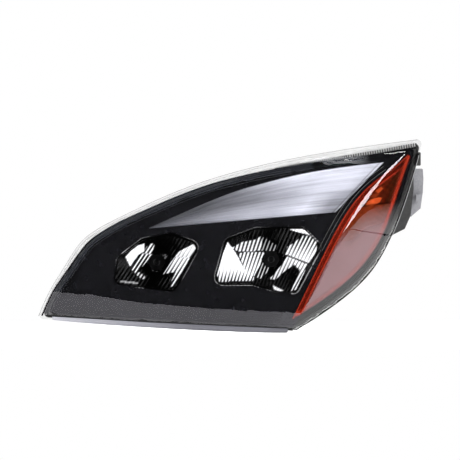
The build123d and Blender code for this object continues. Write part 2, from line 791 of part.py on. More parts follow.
def gear(place, turn):
    """Spur gear with involute flanks and a tooth pointing at `turn` degrees."""
    pitch = GEAR_TEETH * GEAR_MODULE / 2
    base = pitch * cos(radians(20))
    half_tooth = (pi * GEAR_MODULE / 2 - GEAR_BACKLASH / 2) / (2 * pitch) + involute(pitch, base)
    flank = []
    for radius in (base, (base + pitch) / 2, pitch, pitch + GEAR_MODULE):
        angle = half_tooth - involute(radius, base)
        flank.append((radius * cos(angle), radius * sin(angle)))
    mirrored = [(x, -y) for x, y in reversed(flank)]
    root = pitch - 1.25 * GEAR_MODULE
    foot = (root - 1, flank[0][1])
    with BuildPart() as body:
        with BuildSketch(rear_plane(GEAR_FRONT)):
            with Locations((-place[0], place[1])):
                Circle(root)
                with PolarLocations(0, GEAR_TEETH, start_angle=turn):
                    Polygon(foot, *flank, *mirrored, (foot[0], -foot[1]), align=None)
        extrude(amount=GEAR_BACK - GEAR_FRONT)
        add(round_bar(place, HUB_RADIUS, BOX_FRONT + BOX_WALL + 0.2, BOX_BACK - 0.2))
    return body.part


def driver_place(place):
    return shifted(place, up=-GEAR_DISTANCE)


def stadium(middle, radius, front, back):
    """Round-ended upright block that surrounds an adjuster's two axes."""
    with BuildPart() as body:
        with BuildSketch(rear_plane(front)):
            with Locations((-middle[0], middle[1])):
                SlotCenterToCenter(GEAR_DISTANCE, 2 * radius, rotation=90)
        extrude(amount=back - front)
    return body.part


def make_adjuster(side, place):
    driver = driver_place(place)
    middle = shifted(place, up=-GEAR_DISTANCE / 2)
    with BuildPart() as stud:
        add(ball(place, BALL_RADIUS))
        add(round_bar(place, STUD_RADIUS, BALL_Y, STUD_END))
    save(f"{side}_stud", stud)

    with BuildPart() as nut:
        add(gear(place, -90))
        add(round_bar(place, STUD_RADIUS + RUNNING, -80, 0), mode=Mode.SUBTRACT)
    save(f"{side}_gear", nut)

    with BuildPart() as pinion:
        add(gear(driver, 90 + 180 / GEAR_TEETH))
        add(round_bar(driver, 4.0, BOX_BACK - 1, -30))
        with BuildSketch(rear_plane(-30)):
            with Locations((-driver[0], driver[1])):
                RegularPolygon(6.0, 6)
        extrude(amount=8)
        add(block(driver, 7, 1.4, -25, -20, 0.3), mode=Mode.SUBTRACT)
        add(block(driver, 1.4, 7, -25, -20, 0.3), mode=Mode.SUBTRACT)
    save(f"{side}_driver", pinion)

    seats = []
    for spot in (place, driver):
        seats.append(ring(spot, HUB_RADIUS + 2, HUB_RADIUS + RUNNING, BOX_FRONT + 1, GEAR_FRONT - 0.5))
    ears = [shifted(middle, x, z) for x, z in ((-16, 0), (16, 0))]
    with BuildPart() as box:
        add(stadium(middle, BOX_RADIUS, BOX_FRONT, BOX_BACK))
        for ear in ears:
            add(round_bar(ear, 4.2, BOX_FRONT, BOX_BACK))
        add(stadium(middle, BOX_RADIUS - BOX_WALL, BOX_FRONT + BOX_WALL, BOX_BACK), mode=Mode.SUBTRACT)
        for seat in seats:
            add(seat)
        add(round_bar(place, STUD_RADIUS + 0.3, -80, 0), mode=Mode.SUBTRACT)
        for ear in ears:
            add(round_bar(ear, SCREW_RADIUS + 0.05, -80, 0), mode=Mode.SUBTRACT)
    save(f"{side}_gearbox", box)

    with BuildPart() as cover:
        add(stadium(middle, BOX_RADIUS, BOX_BACK, COVER_BACK))
        for ear in ears:
            add(round_bar(ear, 4.2, BOX_BACK, COVER_BACK))
        for spot in (place, driver):
            add(ring(spot, HUB_RADIUS + 2, HUB_RADIUS + RUNNING, GEAR_BACK + 0.5, BOX_BACK + 1))
        add(round_bar(place, STUD_RADIUS + 0.3, -80, 0), mode=Mode.SUBTRACT)
        add(round_bar(driver, 4.0 + RUNNING, -80, 0), mode=Mode.SUBTRACT)
        for ear in ears:
            add(round_bar(ear, SCREW_RADIUS + 0.2, -80, 0), mode=Mode.SUBTRACT)
    save(f"{side}_gearbox_cover", cover)
    return [screw(ear, COVER_BACK, -56) for ear in ears]


def make_adjusters():
    screws = make_adjuster("vertical", VERTICAL_AIM)
    screws += make_adjuster("horizontal", HORIZONTAL_AIM)
    with BuildPart() as fasteners:
        for piece in screws:
            add(piece)
    save("gearbox_screws", fasteners)


# ---------------------------------------------------------------- bulbs, plugs and caps
def make_bulb(beam_name, beam):
    elbow_drop = 22.0
    elbow = shifted(beam, up=-elbow_drop)
    with BuildPart() as base:
        add(round_bar(beam, 19.0, NECK_BACK + 0.1, -90.5))
        add(round_bar(beam, NECK_BORE - RUNNING, -117, NECK_BACK + 1))
        add(lugs(beam, 8, 16.2, -119, -116.3))
        add(round_bar(beam, 14.0, -91, -78))
        add(block(shifted(beam, up=-elbow_drop / 2), 18, elbow_drop + 12, -90, -79, 2.0))
        add(round_bar(beam, 7.0, -124, -116))
        add(round_bar(beam, 5.6, -125, -119.5), mode=Mode.SUBTRACT)
    save(f"{beam_name}_bulb_base", base)

    with BuildPart() as glass:
        add(round_bar(beam, 5.5, -146, -119.6))
        tip = glass.faces().sort_by(Axis.Y)[0]
        fillet(tip.edges(), 3.5)
        inner = round_bar(beam, 4.5, -144, -121.5)
        add(inner, mode=Mode.SUBTRACT)
    save(f"{beam_name}_bulb_glass", glass)

    with BuildPart() as filament:
        add(round_bar(beam, 1.1, -138, -131))
        for side in (-2.6, 2.6):
            add(round_bar(shifted(beam, side), 0.5, -137.4, -121.6))
            add(block(shifted(beam, side / 2), 3.0, 0.8, -137.4, -136.4, 0.3))
    save(f"{beam_name}_bulb_filament", filament)

    with BuildPart() as plug:
        add(block(shifted(elbow, up=-15.2), 16, 18, -89.5, -79.5, 1.5))
        add(block(shifted(elbow, up=-14), 6, 10, -80, -77.5, 0.8))
    save(f"{beam_name}_bulb_plug", plug)


def make_cap(beam_name, beam):
    ribs = []
    for step in range(36):
        angle = radians(10 * step)
        spot = shifted(beam, CAP_OUTER * cos(angle), CAP_OUTER * sin(angle))
        ribs.append(round_bar(spot, 1.1, CAP_FRONT + 4, CAP_PLATE))
    with BuildPart() as cap:
        add(ring(beam, CAP_OUTER, CAP_INNER, CAP_FRONT, CAP_BACK))
        add(round_bar(beam, CAP_OUTER, CAP_PLATE, CAP_BACK))
        add(lugs(beam, 40.6, CAP_INNER + 1, -38.6, -34.6))
        for rib in ribs:
            add(rib)
        add(block(beam, 72, 11, CAP_BACK - 1, -7, 3.0))
        add(ring(beam, 30, 28, CAP_BACK - 1, -14))
        add(ring(beam, CAP_INNER + 0.5, COLLAR_RADIUS + 0.4, CAP_PLATE - 6, CAP_PLATE), mode=Mode.SUBTRACT)
    save(f"{beam_name}_cap", cap)
    with BuildPart() as seal:
        add(ring(beam, 39.9, 37.4, COLLAR_BACK + 0.02, CAP_PLATE - 0.02))
    save(f"{beam_name}_cap_seal", seal)


# ---------------------------------------------------------------- connector, wiring and vents
def make_connector():
    with BuildPart() as connector:
        add(block(CONNECTOR, 32.8, 20.8, -64, -57, 1.9))
        add(block(CONNECTOR, 28, 16, -70, -63, 1.5))
        for x in (-12, -4, 4, 12):
            for z in (-4, 4):
                add(block(shifted(CONNECTOR, x, z), 1.5, 1.5, -80, -50, 0.2), mode=Mode.SUBTRACT)
    save("main_connector", connector)
    with BuildPart() as pins:
        for x in (-12, -4, 4, 12):
            for z in (-4, 4):
                add(block(shifted(CONNECTOR, x, z), 1.4, 1.4, -69.5, -42, 0.2))
    save("connector_pins", pins)


def make_harness():
    """Wires from the connector, clipped along the back wall and ending short of the moving plugs."""
    start = -70.2
    routes = (
        ((34, 85), ((2, 84), (2, 30), (30, -50), (60, -62))),
        ((46, 85), ((46, 94), (-90, 76), (-78, -50), (-110, -62))),
        ((40, 89), ((60, 96), (120, 100), (206, 112))),
    )
    with BuildPart() as harness:
        for first, rest in routes:
            with BuildLine():
                points = [(first[0], start, first[1]), (first[0], -76, first[1])]
                points += [(x, -76, z) for x, z in rest]
                path = FilletPolyline(*points, radius=4)
            with BuildSketch(Plane(origin=path @ 0, z_dir=path % 0)):
                Circle(1.6)
            sweep(path=path)
    save("wiring_harness", harness)


def make_vents():
    with BuildPart() as vents:
        for vent in VENTS:
            with BuildLine():
                path = JernArc((vent[0], -59, vent[1]), (0, 1, 0), 12, 90)
            with BuildSketch(Plane(origin=path @ 0, z_dir=path % 0)):
                Circle(7.0)
            sweep(path=path)
            add(round_bar(vent, 4.02, BACK_WALL - 1, -49.9), mode=Mode.SUBTRACT)
    save("vent_elbows", vents)


if __name__ == "__main__":
    os.makedirs("parts", exist_ok=True)
    make_lens()
    make_lens_seal()
    make_housing()
    make_inserts()
    make_bracket()
    make_bracket_screws()
    make_bezel()
    make_guide()
    make_guide_tray()
    make_guide_board()
    make_side_lens()
    make_side_reflector()
    make_side_bulb()
    make_reflector("low_beam_reflector", LOW_BEAM, low_beam_edge)
    make_reflector("high_beam_reflector", HIGH_BEAM, high_beam_edge)
    make_carrier()
    make_reflector_screws()
    make_pivot()
    make_socket("vertical_socket", VERTICAL_AIM)
    make_socket("horizontal_socket", HORIZONTAL_AIM)
    make_adjusters()
    for beam_name, beam in (("low_beam", LOW_BEAM), ("high_beam", HIGH_BEAM)):
        make_bulb(beam_name, beam)
        make_cap(beam_name, beam)
    make_connector()
    make_harness()
    make_vents()
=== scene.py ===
"""Looks of the headlight assembly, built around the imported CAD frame. Blender works in metres; outlines
and depths are given in mm, and MM turns them into metres."""

from math import cos, pi, radians, sin

import bmesh
import bpy
import numpy as np
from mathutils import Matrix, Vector


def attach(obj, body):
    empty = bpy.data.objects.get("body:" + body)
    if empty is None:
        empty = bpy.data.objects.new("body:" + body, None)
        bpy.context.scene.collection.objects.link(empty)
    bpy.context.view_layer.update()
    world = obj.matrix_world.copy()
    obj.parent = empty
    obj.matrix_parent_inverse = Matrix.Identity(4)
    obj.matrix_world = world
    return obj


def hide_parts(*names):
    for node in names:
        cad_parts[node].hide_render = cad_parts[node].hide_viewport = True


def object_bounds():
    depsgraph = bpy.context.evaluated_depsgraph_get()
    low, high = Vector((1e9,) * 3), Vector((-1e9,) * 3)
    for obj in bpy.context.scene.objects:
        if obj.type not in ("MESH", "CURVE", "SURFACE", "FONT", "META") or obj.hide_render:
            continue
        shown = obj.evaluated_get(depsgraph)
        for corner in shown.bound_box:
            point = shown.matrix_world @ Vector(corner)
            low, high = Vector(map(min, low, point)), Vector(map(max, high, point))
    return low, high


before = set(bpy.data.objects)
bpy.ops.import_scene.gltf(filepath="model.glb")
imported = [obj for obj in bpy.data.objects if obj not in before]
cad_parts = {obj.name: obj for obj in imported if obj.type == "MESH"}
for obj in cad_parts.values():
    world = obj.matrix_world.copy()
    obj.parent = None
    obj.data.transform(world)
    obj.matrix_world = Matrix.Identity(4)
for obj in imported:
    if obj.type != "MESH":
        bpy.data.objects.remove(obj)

CAD_BOX = [list(corner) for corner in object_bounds()]
MM = 0.001

# ---------------------------------------------------------------- the lens surface, as in the CAD model
FRONT, FORM_Z, ROLL = 265.0, 50.0, 650.0
LEAN = radians(30)
FACE_R, BEND_R, SIDE_R = 1400.0, 100.0, 800.0
FACE_END, BEND_END = radians(7), radians(45)
FACE_C = np.array((-80.0, 750.0))
BEND_C = FACE_C + (FACE_R - BEND_R) * np.array((sin(FACE_END), -cos(FACE_END)))
SIDE_C = BEND_C + (BEND_R - SIDE_R) * np.array((sin(BEND_END), -cos(BEND_END)))


def form_y(x, z, depth):
    """Depth Y in mm of the surface `depth` behind the lens's outer face, straight behind (x, z)."""
    x, z = np.asarray(x, float), np.asarray(z, float)
    across = x * cos(LEAN) - (z - FORM_Z) * sin(LEAN)
    along = x * sin(LEAN) + (z - FORM_Z) * cos(LEAN)
    bend_start = FACE_C[0] + (FACE_R - depth) * sin(FACE_END)
    side_start = BEND_C[0] + (BEND_R - depth) * sin(BEND_END)
    arcs = []
    for centre, radius in ((FACE_C, FACE_R), (BEND_C, BEND_R), (SIDE_C, SIDE_R)):
        arcs.append(centre[1] - np.sqrt(np.maximum((radius - depth) ** 2 - (across - centre[0]) ** 2, 0)))
    rise = np.where(across < bend_start, arcs[0], np.where(across < side_start, arcs[1], arcs[2]))
    return ROLL - FRONT - np.sqrt(np.maximum(rise**2 - along**2, 0))


def curve_through(points, count):
    """Natural cubic spline through the points, by chord length, as `count` + 1 points."""
    points = np.array(points, float)
    steps = np.linalg.norm(np.diff(points, axis=0), axis=1)
    knots = np.concatenate(([0], np.cumsum(steps)))
    size = len(points)
    matrix, right = np.eye(size), np.zeros((size, 2))
    for i in range(1, size - 1):
        before, after = steps[i - 1], steps[i]
        matrix[i, i - 1 : i + 2] = before, 2 * (before + after), after
        right[i] = 6 * ((points[i + 1] - points[i]) / after - (points[i] - points[i - 1]) / before)
    bend = np.linalg.solve(matrix, right)
    out = []
    for t in np.linspace(0, knots[-1], count + 1):
        i = min(max(np.searchsorted(knots, t) - 1, 0), size - 2)
        h, a, b = steps[i], knots[i + 1] - t, t - knots[i]
        out.append(
            bend[i] * a**3 / (6 * h)
            + bend[i + 1] * b**3 / (6 * h)
            + (points[i] / h - bend[i] * h / 6) * a
            + (points[i + 1] / h - bend[i + 1] * h / 6) * b
        )
    return np.array(out)


# ---------------------------------------------------------------- outlines in the front view, in mm
LENS_TOP = (
    (-328, -96), (-305, -45), (-279, -3), (-250, 38), (-223, 58), (-187, 77), (-72, 128), (88, 173),
    (330, 211),
)
LENS_SIDE = ((330, 211), (303, 115), (264, 20), (245, -11), (192, -63), (107, -120))
GUIDE_TIP, GUIDE_FOOT = (-143, 57), (180, 85)
GUIDE_POCKET_TOP = (GUIDE_TIP, (-66, 91), (10, 121), (92, 149), (263, 171))
GUIDE_TOP = (
    GUIDE_TIP, (-66, 91), (-4, 117), (51, 133.5), (102, 146.5), (153, 156.5), (204, 164), (263, 171),
)
GUIDE_LENGTH = 330.0
SIDE_LEFT = ((104, -99), (157, 10), (178, 51), (233, 127), (289, 171), (303, 184))
SIDE_RIGHT = ((104, -99), (167, -58), (232, 1), (262, 49), (287, 117), (309, 180))
LOW_OPENING = ((-24, -34), (-4, 36), (44, 54), (122, 57), (155, 27), (113, -52), (76, -46), (39, -34))
HIGH_OPENING = ((-194, -34), (-188, 6), (-148, 36), (-100, 45), (-56, 29), (-96, -46))
LOW_AXIS, HIGH_AXIS = (70.0, 5.0), (-125.0, 0.0)
FOCAL, VERTEX = 24.0, -112.0


def beside(outline, inset, count=300):
    """Curve through an outline's points, moved `inset` mm to the right of its direction."""
    curve = curve_through(outline, count)
    ahead = np.gradient(curve, axis=0)
    ahead /= np.linalg.norm(ahead, axis=1, keepdims=True)
    sideways = np.stack([ahead[:, 1], -ahead[:, 0]], axis=1)
    return curve + np.reshape(inset, (-1, 1)) * sideways


def stretch_of(curve, low, high):
    """The part of a curve whose Z lies between two values."""
    return curve[(curve[:, 1] >= low) & (curve[:, 1] <= high)]


def inside(outline, x, z):
    """Whether each point lies inside a closed outline."""
    hits = np.zeros(np.shape(x), bool)
    for (ax, az), (bx, bz) in zip(outline, outline[1:] + outline[:1]):
        if az == bz:
            continue
        crosses = (az > z) != (bz > z)
        hits ^= crosses & (x < (bx - ax) * (z - az) / (bz - az) + ax)
    return hits


# ---------------------------------------------------------------- mesh helpers
def link(name, mesh, body, material, smooth=True):
    """Object of the mesh that rides on a body of the frame."""
    obj = bpy.data.objects.new(name, mesh)
    bpy.context.collection.objects.link(obj)
    if smooth:
        mesh.shade_smooth()
    paint(obj, MATERIALS[material])
    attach(obj, body)
    return obj


def grid_solid(name, front, back, body, material, keep=None, values=None):
    """Closed shell between two grids of points in mm; `keep` says which cells stay."""
    rows, columns = front.shape[:2]
    mesh = bpy.data.meshes.new(name)
    shape = bmesh.new()
    layers = []
    for grid in (front, back):
        layers.append([[shape.verts.new(Vector(spot) * MM) for spot in row] for row in grid])
    if keep is None:
        keep = np.ones((rows - 1, columns - 1), bool)
    near, far = layers
    for i in range(rows - 1):
        for j in range(columns - 1):
            if not keep[i, j]:
                continue
            shape.faces.new((near[i][j], near[i][j + 1], near[i + 1][j + 1], near[i + 1][j]))
            shape.faces.new((far[i][j], far[i + 1][j], far[i + 1][j + 1], far[i][j + 1]))
            sides = (
                (i == 0 or not keep[i - 1, j], (i, j), (i, j + 1)),
                (i == rows - 2 or not keep[i + 1, j], (i + 1, j + 1), (i + 1, j)),
                (j == 0 or not keep[i, j - 1], (i + 1, j), (i, j)),
                (j == columns - 2 or not keep[i, j + 1], (i, j + 1), (i + 1, j + 1)),
            )
            for open_side, (a, b), (c, d) in sides:
                if open_side:
                    shape.faces.new((near[c][d], near[a][b], far[a][b], far[c][d]))
    loose = [vert for vert in shape.verts if not vert.link_faces]
    shape.verts.index_update()
    order = [vert.index for vert in shape.verts if vert.link_faces]
    bmesh.ops.delete(shape, geom=loose, context="VERTS")
    bmesh.ops.recalc_face_normals(shape, faces=shape.faces)
    shape.to_mesh(mesh)
    shape.free()
    if values:
        for key, grid in values.items():
            attribute = mesh.attributes.new(key, "FLOAT", "POINT")
            data = np.concatenate([grid.ravel(), grid.ravel()])[order]
            attribute.data.foreach_set("value", data.astype(np.float32))
    return link(name, mesh, body, material)


def bump_at(distance, centre, half):
    """Smooth bump, 1 at `centre` and nearly 0 at twice `half` away from it."""
    return np.exp(-(((distance - centre) / half) ** 2))


def conformal(x, z, depth):
    """Points in mm that lie `depth` behind the lens's outer face."""
    return np.stack([x, form_y(x, z, depth), z], axis=-1)


# ---------------------------------------------------------------- material helpers
def new_material(name):
    """Empty material, with its nodes and links."""
    material = bpy.data.materials.new(name)
    material.use_nodes = True
    nodes = material.node_tree.nodes
    nodes.clear()
    return material, nodes, material.node_tree.links


def set_inputs(node, values):
    """Sets several inputs of a node."""
    for key, value in values.items():
        node.inputs[key].default_value = value


def noise(nodes, links, scale, detail=3.0):
    """Noise in object space."""
    coords = nodes.new("ShaderNodeTexCoord")
    texture = nodes.new("ShaderNodeTexNoise")
    set_inputs(texture, {"Scale": scale, "Detail": detail})
    links.new(coords.outputs["Object"], texture.inputs["Vector"])
    return texture.outputs["Fac"]


def attribute(nodes, name):
    """Value of a mesh attribute."""
    node = nodes.new("ShaderNodeAttribute")
    node.attribute_name = name
    return node.outputs["Fac"]


def object_place(nodes, links, axis):
    """Place along one axis, in metres."""
    coords = nodes.new("ShaderNodeTexCoord")
    split = nodes.new("ShaderNodeSeparateXYZ")
    links.new(coords.outputs["Object"], split.inputs[0])
    return split.outputs[axis]


def less_than(nodes, links, value, limit):
    """1 where the value is below the limit and 0 elsewhere."""
    node = nodes.new("ShaderNodeMath")
    node.operation = "LESS_THAN"
    node.inputs[1].default_value = limit
    links.new(value, node.inputs[0])
    return node.outputs[0]


def product(nodes, links, first, second):
    """One value times another, which is a socket or a number."""
    node = nodes.new("ShaderNodeMath")
    node.operation = "MULTIPLY"
    links.new(first, node.inputs[0])
    if isinstance(second, float):
        node.inputs[1].default_value = second
    else:
        links.new(second, node.inputs[1])
    return node.outputs[0]


def mixed(nodes, links, share, first, second):
    """Mix of two shaders, with `share` of the second."""
    node = nodes.new("ShaderNodeMixShader")
    links.new(share, node.inputs["Fac"])
    links.new(first, node.inputs[1])
    links.new(second, node.inputs[2])
    return node.outputs[0]


def finish_material(nodes, links, shader, kind="Material"):
    """Connects the shader to a new output node, of a material or of the world."""
    output = nodes.new(f"ShaderNodeOutput{kind}")
    links.new(shader, output.inputs[0])


def ramp(nodes, links, value, stops):
    """Colour that runs through the stops, each a place from 0 to 1 and a colour."""
    node = nodes.new("ShaderNodeValToRGB")
    elements = node.color_ramp.elements
    while len(elements) < len(stops):
        elements.new(0.5)
    for element, (place, colour) in zip(elements, stops):
        element.position = place
        element.color = (*colour, 1)
    links.new(value, node.inputs["Fac"])
    return node.outputs["Color"]


def grey(value):
    """Colour with three equal channels."""
    return (value, value, value)


def surface(
    name, low, high, rough=(0.4, 0.5), scale=400.0, bump=0.0, bump_scale=900.0, metallic=0.0, extra=None
):
    """Principled material whose colour and roughness wander with noise, with a fine grain bump."""
    material, nodes, links = new_material(name)
    shader = nodes.new("ShaderNodeBsdfPrincipled")
    finish_material(nodes, links, shader.outputs[0])
    pattern = noise(nodes, links, scale)
    links.new(ramp(nodes, links, pattern, ((0.3, low), (0.7, high))), shader.inputs["Base Color"])
    rough_map = nodes.new("ShaderNodeMapRange")
    set_inputs(rough_map, {"From Min": 0.3, "From Max": 0.7, "To Min": rough[0], "To Max": rough[1]})
    links.new(pattern, rough_map.inputs["Value"])
    links.new(rough_map.outputs[0], shader.inputs["Roughness"])
    shader.inputs["Metallic"].default_value = metallic
    if bump:
        grain = noise(nodes, links, bump_scale, 4.0)
        node = nodes.new("ShaderNodeBump")
        set_inputs(node, {"Strength": bump, "Distance": 0.0004})
        links.new(grain, node.inputs["Height"])
        links.new(node.outputs[0], shader.inputs["Normal"])
    if extra:
        set_inputs(shader, extra)
    return material


def graded(name, low_x, high_x, low, high):
    """Plain surface whose colour changes along X, between two places in mm; used for the painted reflection
    of the lower band.
    """
    material = surface(name, low, low, (0.3, 0.4), 200, 0.1)
    nodes, links = material.node_tree.nodes, material.node_tree.links
    shader = next(node for node in nodes if node.type == "BSDF_PRINCIPLED")
    place = nodes.new("ShaderNodeMapRange")
    set_inputs(place, {"From Min": low_x * MM, "From Max": high_x * MM})
    links.new(object_place(nodes, links, "X"), place.inputs["Value"])
    links.new(ramp(nodes, links, place.outputs[0], ((0.0, low), (1.0, high))), shader.inputs["Base Color"])
    return material


def two_sided_fresnel(nodes, links, index):
    """Fresnel reflection that is the same from inside as from outside, as for a thin sheet."""
    geometry = nodes.new("ShaderNodeNewGeometry")
    ior = nodes.new("ShaderNodeMapRange")
    set_inputs(ior, {"To Min": index, "To Max": 1 / index})
    links.new(geometry.outputs["Backfacing"], ior.inputs["Value"])
    fresnel = nodes.new("ShaderNodeFresnel")
    links.new(ior.outputs[0], fresnel.inputs["IOR"])
    return fresnel.outputs[0]


def clear_plastic(name, tint=(1.0, 1.0, 1.0), shade=0.0, scale=30.0, gloss=1.0):
    """Thin clear plastic: straight-through view plus a Fresnel reflection on the outer face."""
    material, nodes, links = new_material(name)
    geometry = nodes.new("ShaderNodeNewGeometry")
    strength = nodes.new("ShaderNodeMapRange")
    set_inputs(strength, {"To Min": gloss, "To Max": 0.0})
    links.new(geometry.outputs["Backfacing"], strength.inputs["Value"])
    amount = product(nodes, links, two_sided_fresnel(nodes, links, PLASTIC_INDEX), strength.outputs[0])
    clear = nodes.new("ShaderNodeBsdfTransparent")
    haze_and_painted_reflection = noise(nodes, links, scale)
    near = tuple(channel * (1.0 - shade) for channel in tint)
    far = tuple(channel * (1.0 - shade) * 0.985 for channel in tint)
    links.new(ramp(nodes, links, haze_and_painted_reflection, ((0.35, near), (0.65, far))), clear.inputs["Color"])
    shine = nodes.new("ShaderNodeBsdfGlossy")
    shine.inputs["Roughness"].default_value = 0.0
    finish_material(nodes, links, mixed(nodes, links, amount, clear.outputs[0], shine.outputs[0]))
    return material


def coated_glass(name, coat_y):
    """Clear bulb glass with a black coat on the tip, ahead of `coat_y` metres."""
    material = clear_plastic(name, scale=90.0)
    nodes, links = material.node_tree.nodes, material.node_tree.links
    output = next(node for node in nodes if node.type == "OUTPUT_MATERIAL")
    glass = output.inputs[0].links[0].from_socket
    coated = less_than(nodes, links, object_place(nodes, links, "Y"), coat_y)
    coat = nodes.new("ShaderNodeBsdfPrincipled")
    set_inputs(coat, {"Base Color": (0.012, 0.012, 0.013, 1), "Roughness": 0.3})
    links.new(mixed(nodes, links, coated, glass, coat.outputs[0]), output.inputs[0])
    return material


PLASTIC_INDEX = 1.5  # refractive index of the clear lens and of the bulb glass
COAT_EDGE = -0.138  # Y in metres where the black coat of the bulb glass ends
BLACK = (0.006, 0.006, 0.007)
MATERIALS = {
    "clear": clear_plastic("clear_lens", shade=0.04),
    "glass": clear_plastic("bulb_glass_clear", scale=90.0, gloss=1.2),
    "coated_glass": coated_glass("coated_bulb_glass", COAT_EDGE),
    "amber": clear_plastic("amber_plastic", tint=(0.80, 0.16, 0.03), scale=60.0),
    "gloss_black": surface(
        "gloss_black_trim", BLACK, (0.008, 0.008, 0.010), (0.10, 0.14), 60,
        extra={"Specular IOR Level": 0.3},
    ),
    "grain_black": surface("grained_black", grey(0.048), grey(0.070), (0.5, 0.62), 260, 0.5, 1400),
    "smooth_black": surface(
        "smooth_black", (0.014, 0.014, 0.015), (0.022, 0.022, 0.024), (0.35, 0.45), 150, 0.15
    ),
    "rubber": surface("soft_rubber", grey(0.012), grey(0.02), (0.65, 0.8), 300, 0.3, 1800),
    "seal_red": surface("silicone_seal", (0.32, 0.05, 0.03), (0.42, 0.08, 0.05), (0.5, 0.6), 200, 0.2),
    "chrome": surface("metallised", grey(0.80), grey(0.86), (0.035, 0.06), 40, metallic=1.0),
    # Painted shade: the CAD reflectors' chrome is painted nearly black
    "chrome_painted_shade": surface("metallised_painted_shade", grey(0.035), grey(0.05), (0.12, 0.2), 40, metallic=1.0),
    "steel": surface("plated_steel", grey(0.45), grey(0.62), (0.25, 0.38), 500, 0.2, 2500, metallic=1.0),
    "zinc": surface("cast_zinc", (0.26, 0.26, 0.28), (0.33, 0.33, 0.35), (0.42, 0.55), 350, 0.35, 1500),
    "brass": surface(
        "brass_insert", (0.62, 0.42, 0.16), (0.75, 0.54, 0.24), (0.22, 0.34), 300, 0.1, metallic=1.0
    ),
    "acetal": surface("natural_acetal", (0.72, 0.71, 0.66), (0.80, 0.79, 0.75), (0.3, 0.4), 120, 0.1),
    "grey": surface("glass_filled_grey", grey(0.06), grey(0.09), (0.45, 0.6), 200, 0.4, 1200),
    "mid_grey": surface("moulded_grey", grey(0.16), grey(0.22), (0.4, 0.5), 160, 0.25),
    "opal": surface("opal_guide", (0.62, 0.64, 0.70), (0.72, 0.73, 0.78), (0.18, 0.25), 30),
    "white": surface("white_tray", grey(0.72), grey(0.80), (0.3, 0.4), 80),
    "board": surface("circuit_board", (0.01, 0.08, 0.03), (0.02, 0.12, 0.05), (0.35, 0.45), 220, 0.1),
    # Painted light: the clear rim drawn as opaque pale grey
    "rim_painted_light": surface("clear_rim_painted_light", grey(0.52), grey(0.60), (0.3, 0.4), 90),
    # Painted highlight: the bezel's ribs drawn lighter than the black bezel
    "rib_painted_highlight": surface("bezel_rib_painted_highlight", (0.030, 0.031, 0.035), (0.042, 0.043, 0.048), (0.3, 0.4), 120),
    # Painted highlight: the lens's light edge lines
    "edge_painted_highlight": surface("lens_edge_painted_highlight", grey(0.30), grey(0.36), (0.3, 0.4), 200, 0.1),
    # Painted reflection: the grey band along the lens's lower edge, lighter towards the left
    "band_painted_reflection": graded("lower_band_painted_reflection", -300, -60, (0.36, 0.36, 0.40), (0.13, 0.13, 0.15)),
    # Painted highlight: the bezel's creases drawn grey
    "crease_painted_highlight": surface("bezel_crease_painted_highlight", grey(0.09), grey(0.13), (0.3, 0.4), 200, 0.1),
    "led": surface("led_phosphor", (0.80, 0.66, 0.20), (0.86, 0.74, 0.30), (0.3, 0.4), 500),
}

NODE_LOOKS = {
    "clear": ("lens",),
    "glass": ("side_bulb",),
    "coated_glass": ("low_beam_bulb_glass", "high_beam_bulb_glass"),
    "amber": ("side_lens",),
    "gloss_black": ("bezel",),
    "grain_black": ("housing", "low_beam_cap", "high_beam_cap"),
    "smooth_black": (
        "main_connector", "low_beam_bulb_plug", "high_beam_bulb_plug", "vertical_gearbox",
        "low_beam_bulb_base", "high_beam_bulb_base",
        "vertical_gearbox_cover", "horizontal_gearbox", "horizontal_gearbox_cover",
    ),
    "rubber": ("lens_seal", "wiring_harness", "vent_elbows"),
    "seal_red": ("low_beam_cap_seal", "high_beam_cap_seal"),
    "chrome": ("side_reflector",),
    "chrome_painted_shade": ("low_beam_reflector", "high_beam_reflector"),
    "steel": (
        "bracket_screws", "reflector_screws", "gearbox_screws", "pivot_stud", "vertical_stud",
        "horizontal_stud", "low_beam_bulb_filament", "high_beam_bulb_filament",
    ),
    "zinc": ("outer_bracket",),
    "brass": ("mounting_inserts", "connector_pins"),
    "acetal": (
        "pivot_liner", "vertical_socket", "horizontal_socket", "vertical_gear", "horizontal_gear",
        "vertical_driver", "horizontal_driver",
    ),
    "grey": ("reflector_carrier",),
    "mid_grey": ("side_socket",),
    "opal": ("drl_guide",),
    "white": ("drl_tray",),
    "board": ("drl_board",),
    "led": ("drl_leds",),
}


def paint(obj, material):
    """Gives an object its only material."""
    obj.data.materials.clear()
    obj.data.materials.append(material)


for look, names in NODE_LOOKS.items():
    for name in names:
        paint(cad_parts[name], MATERIALS[look])


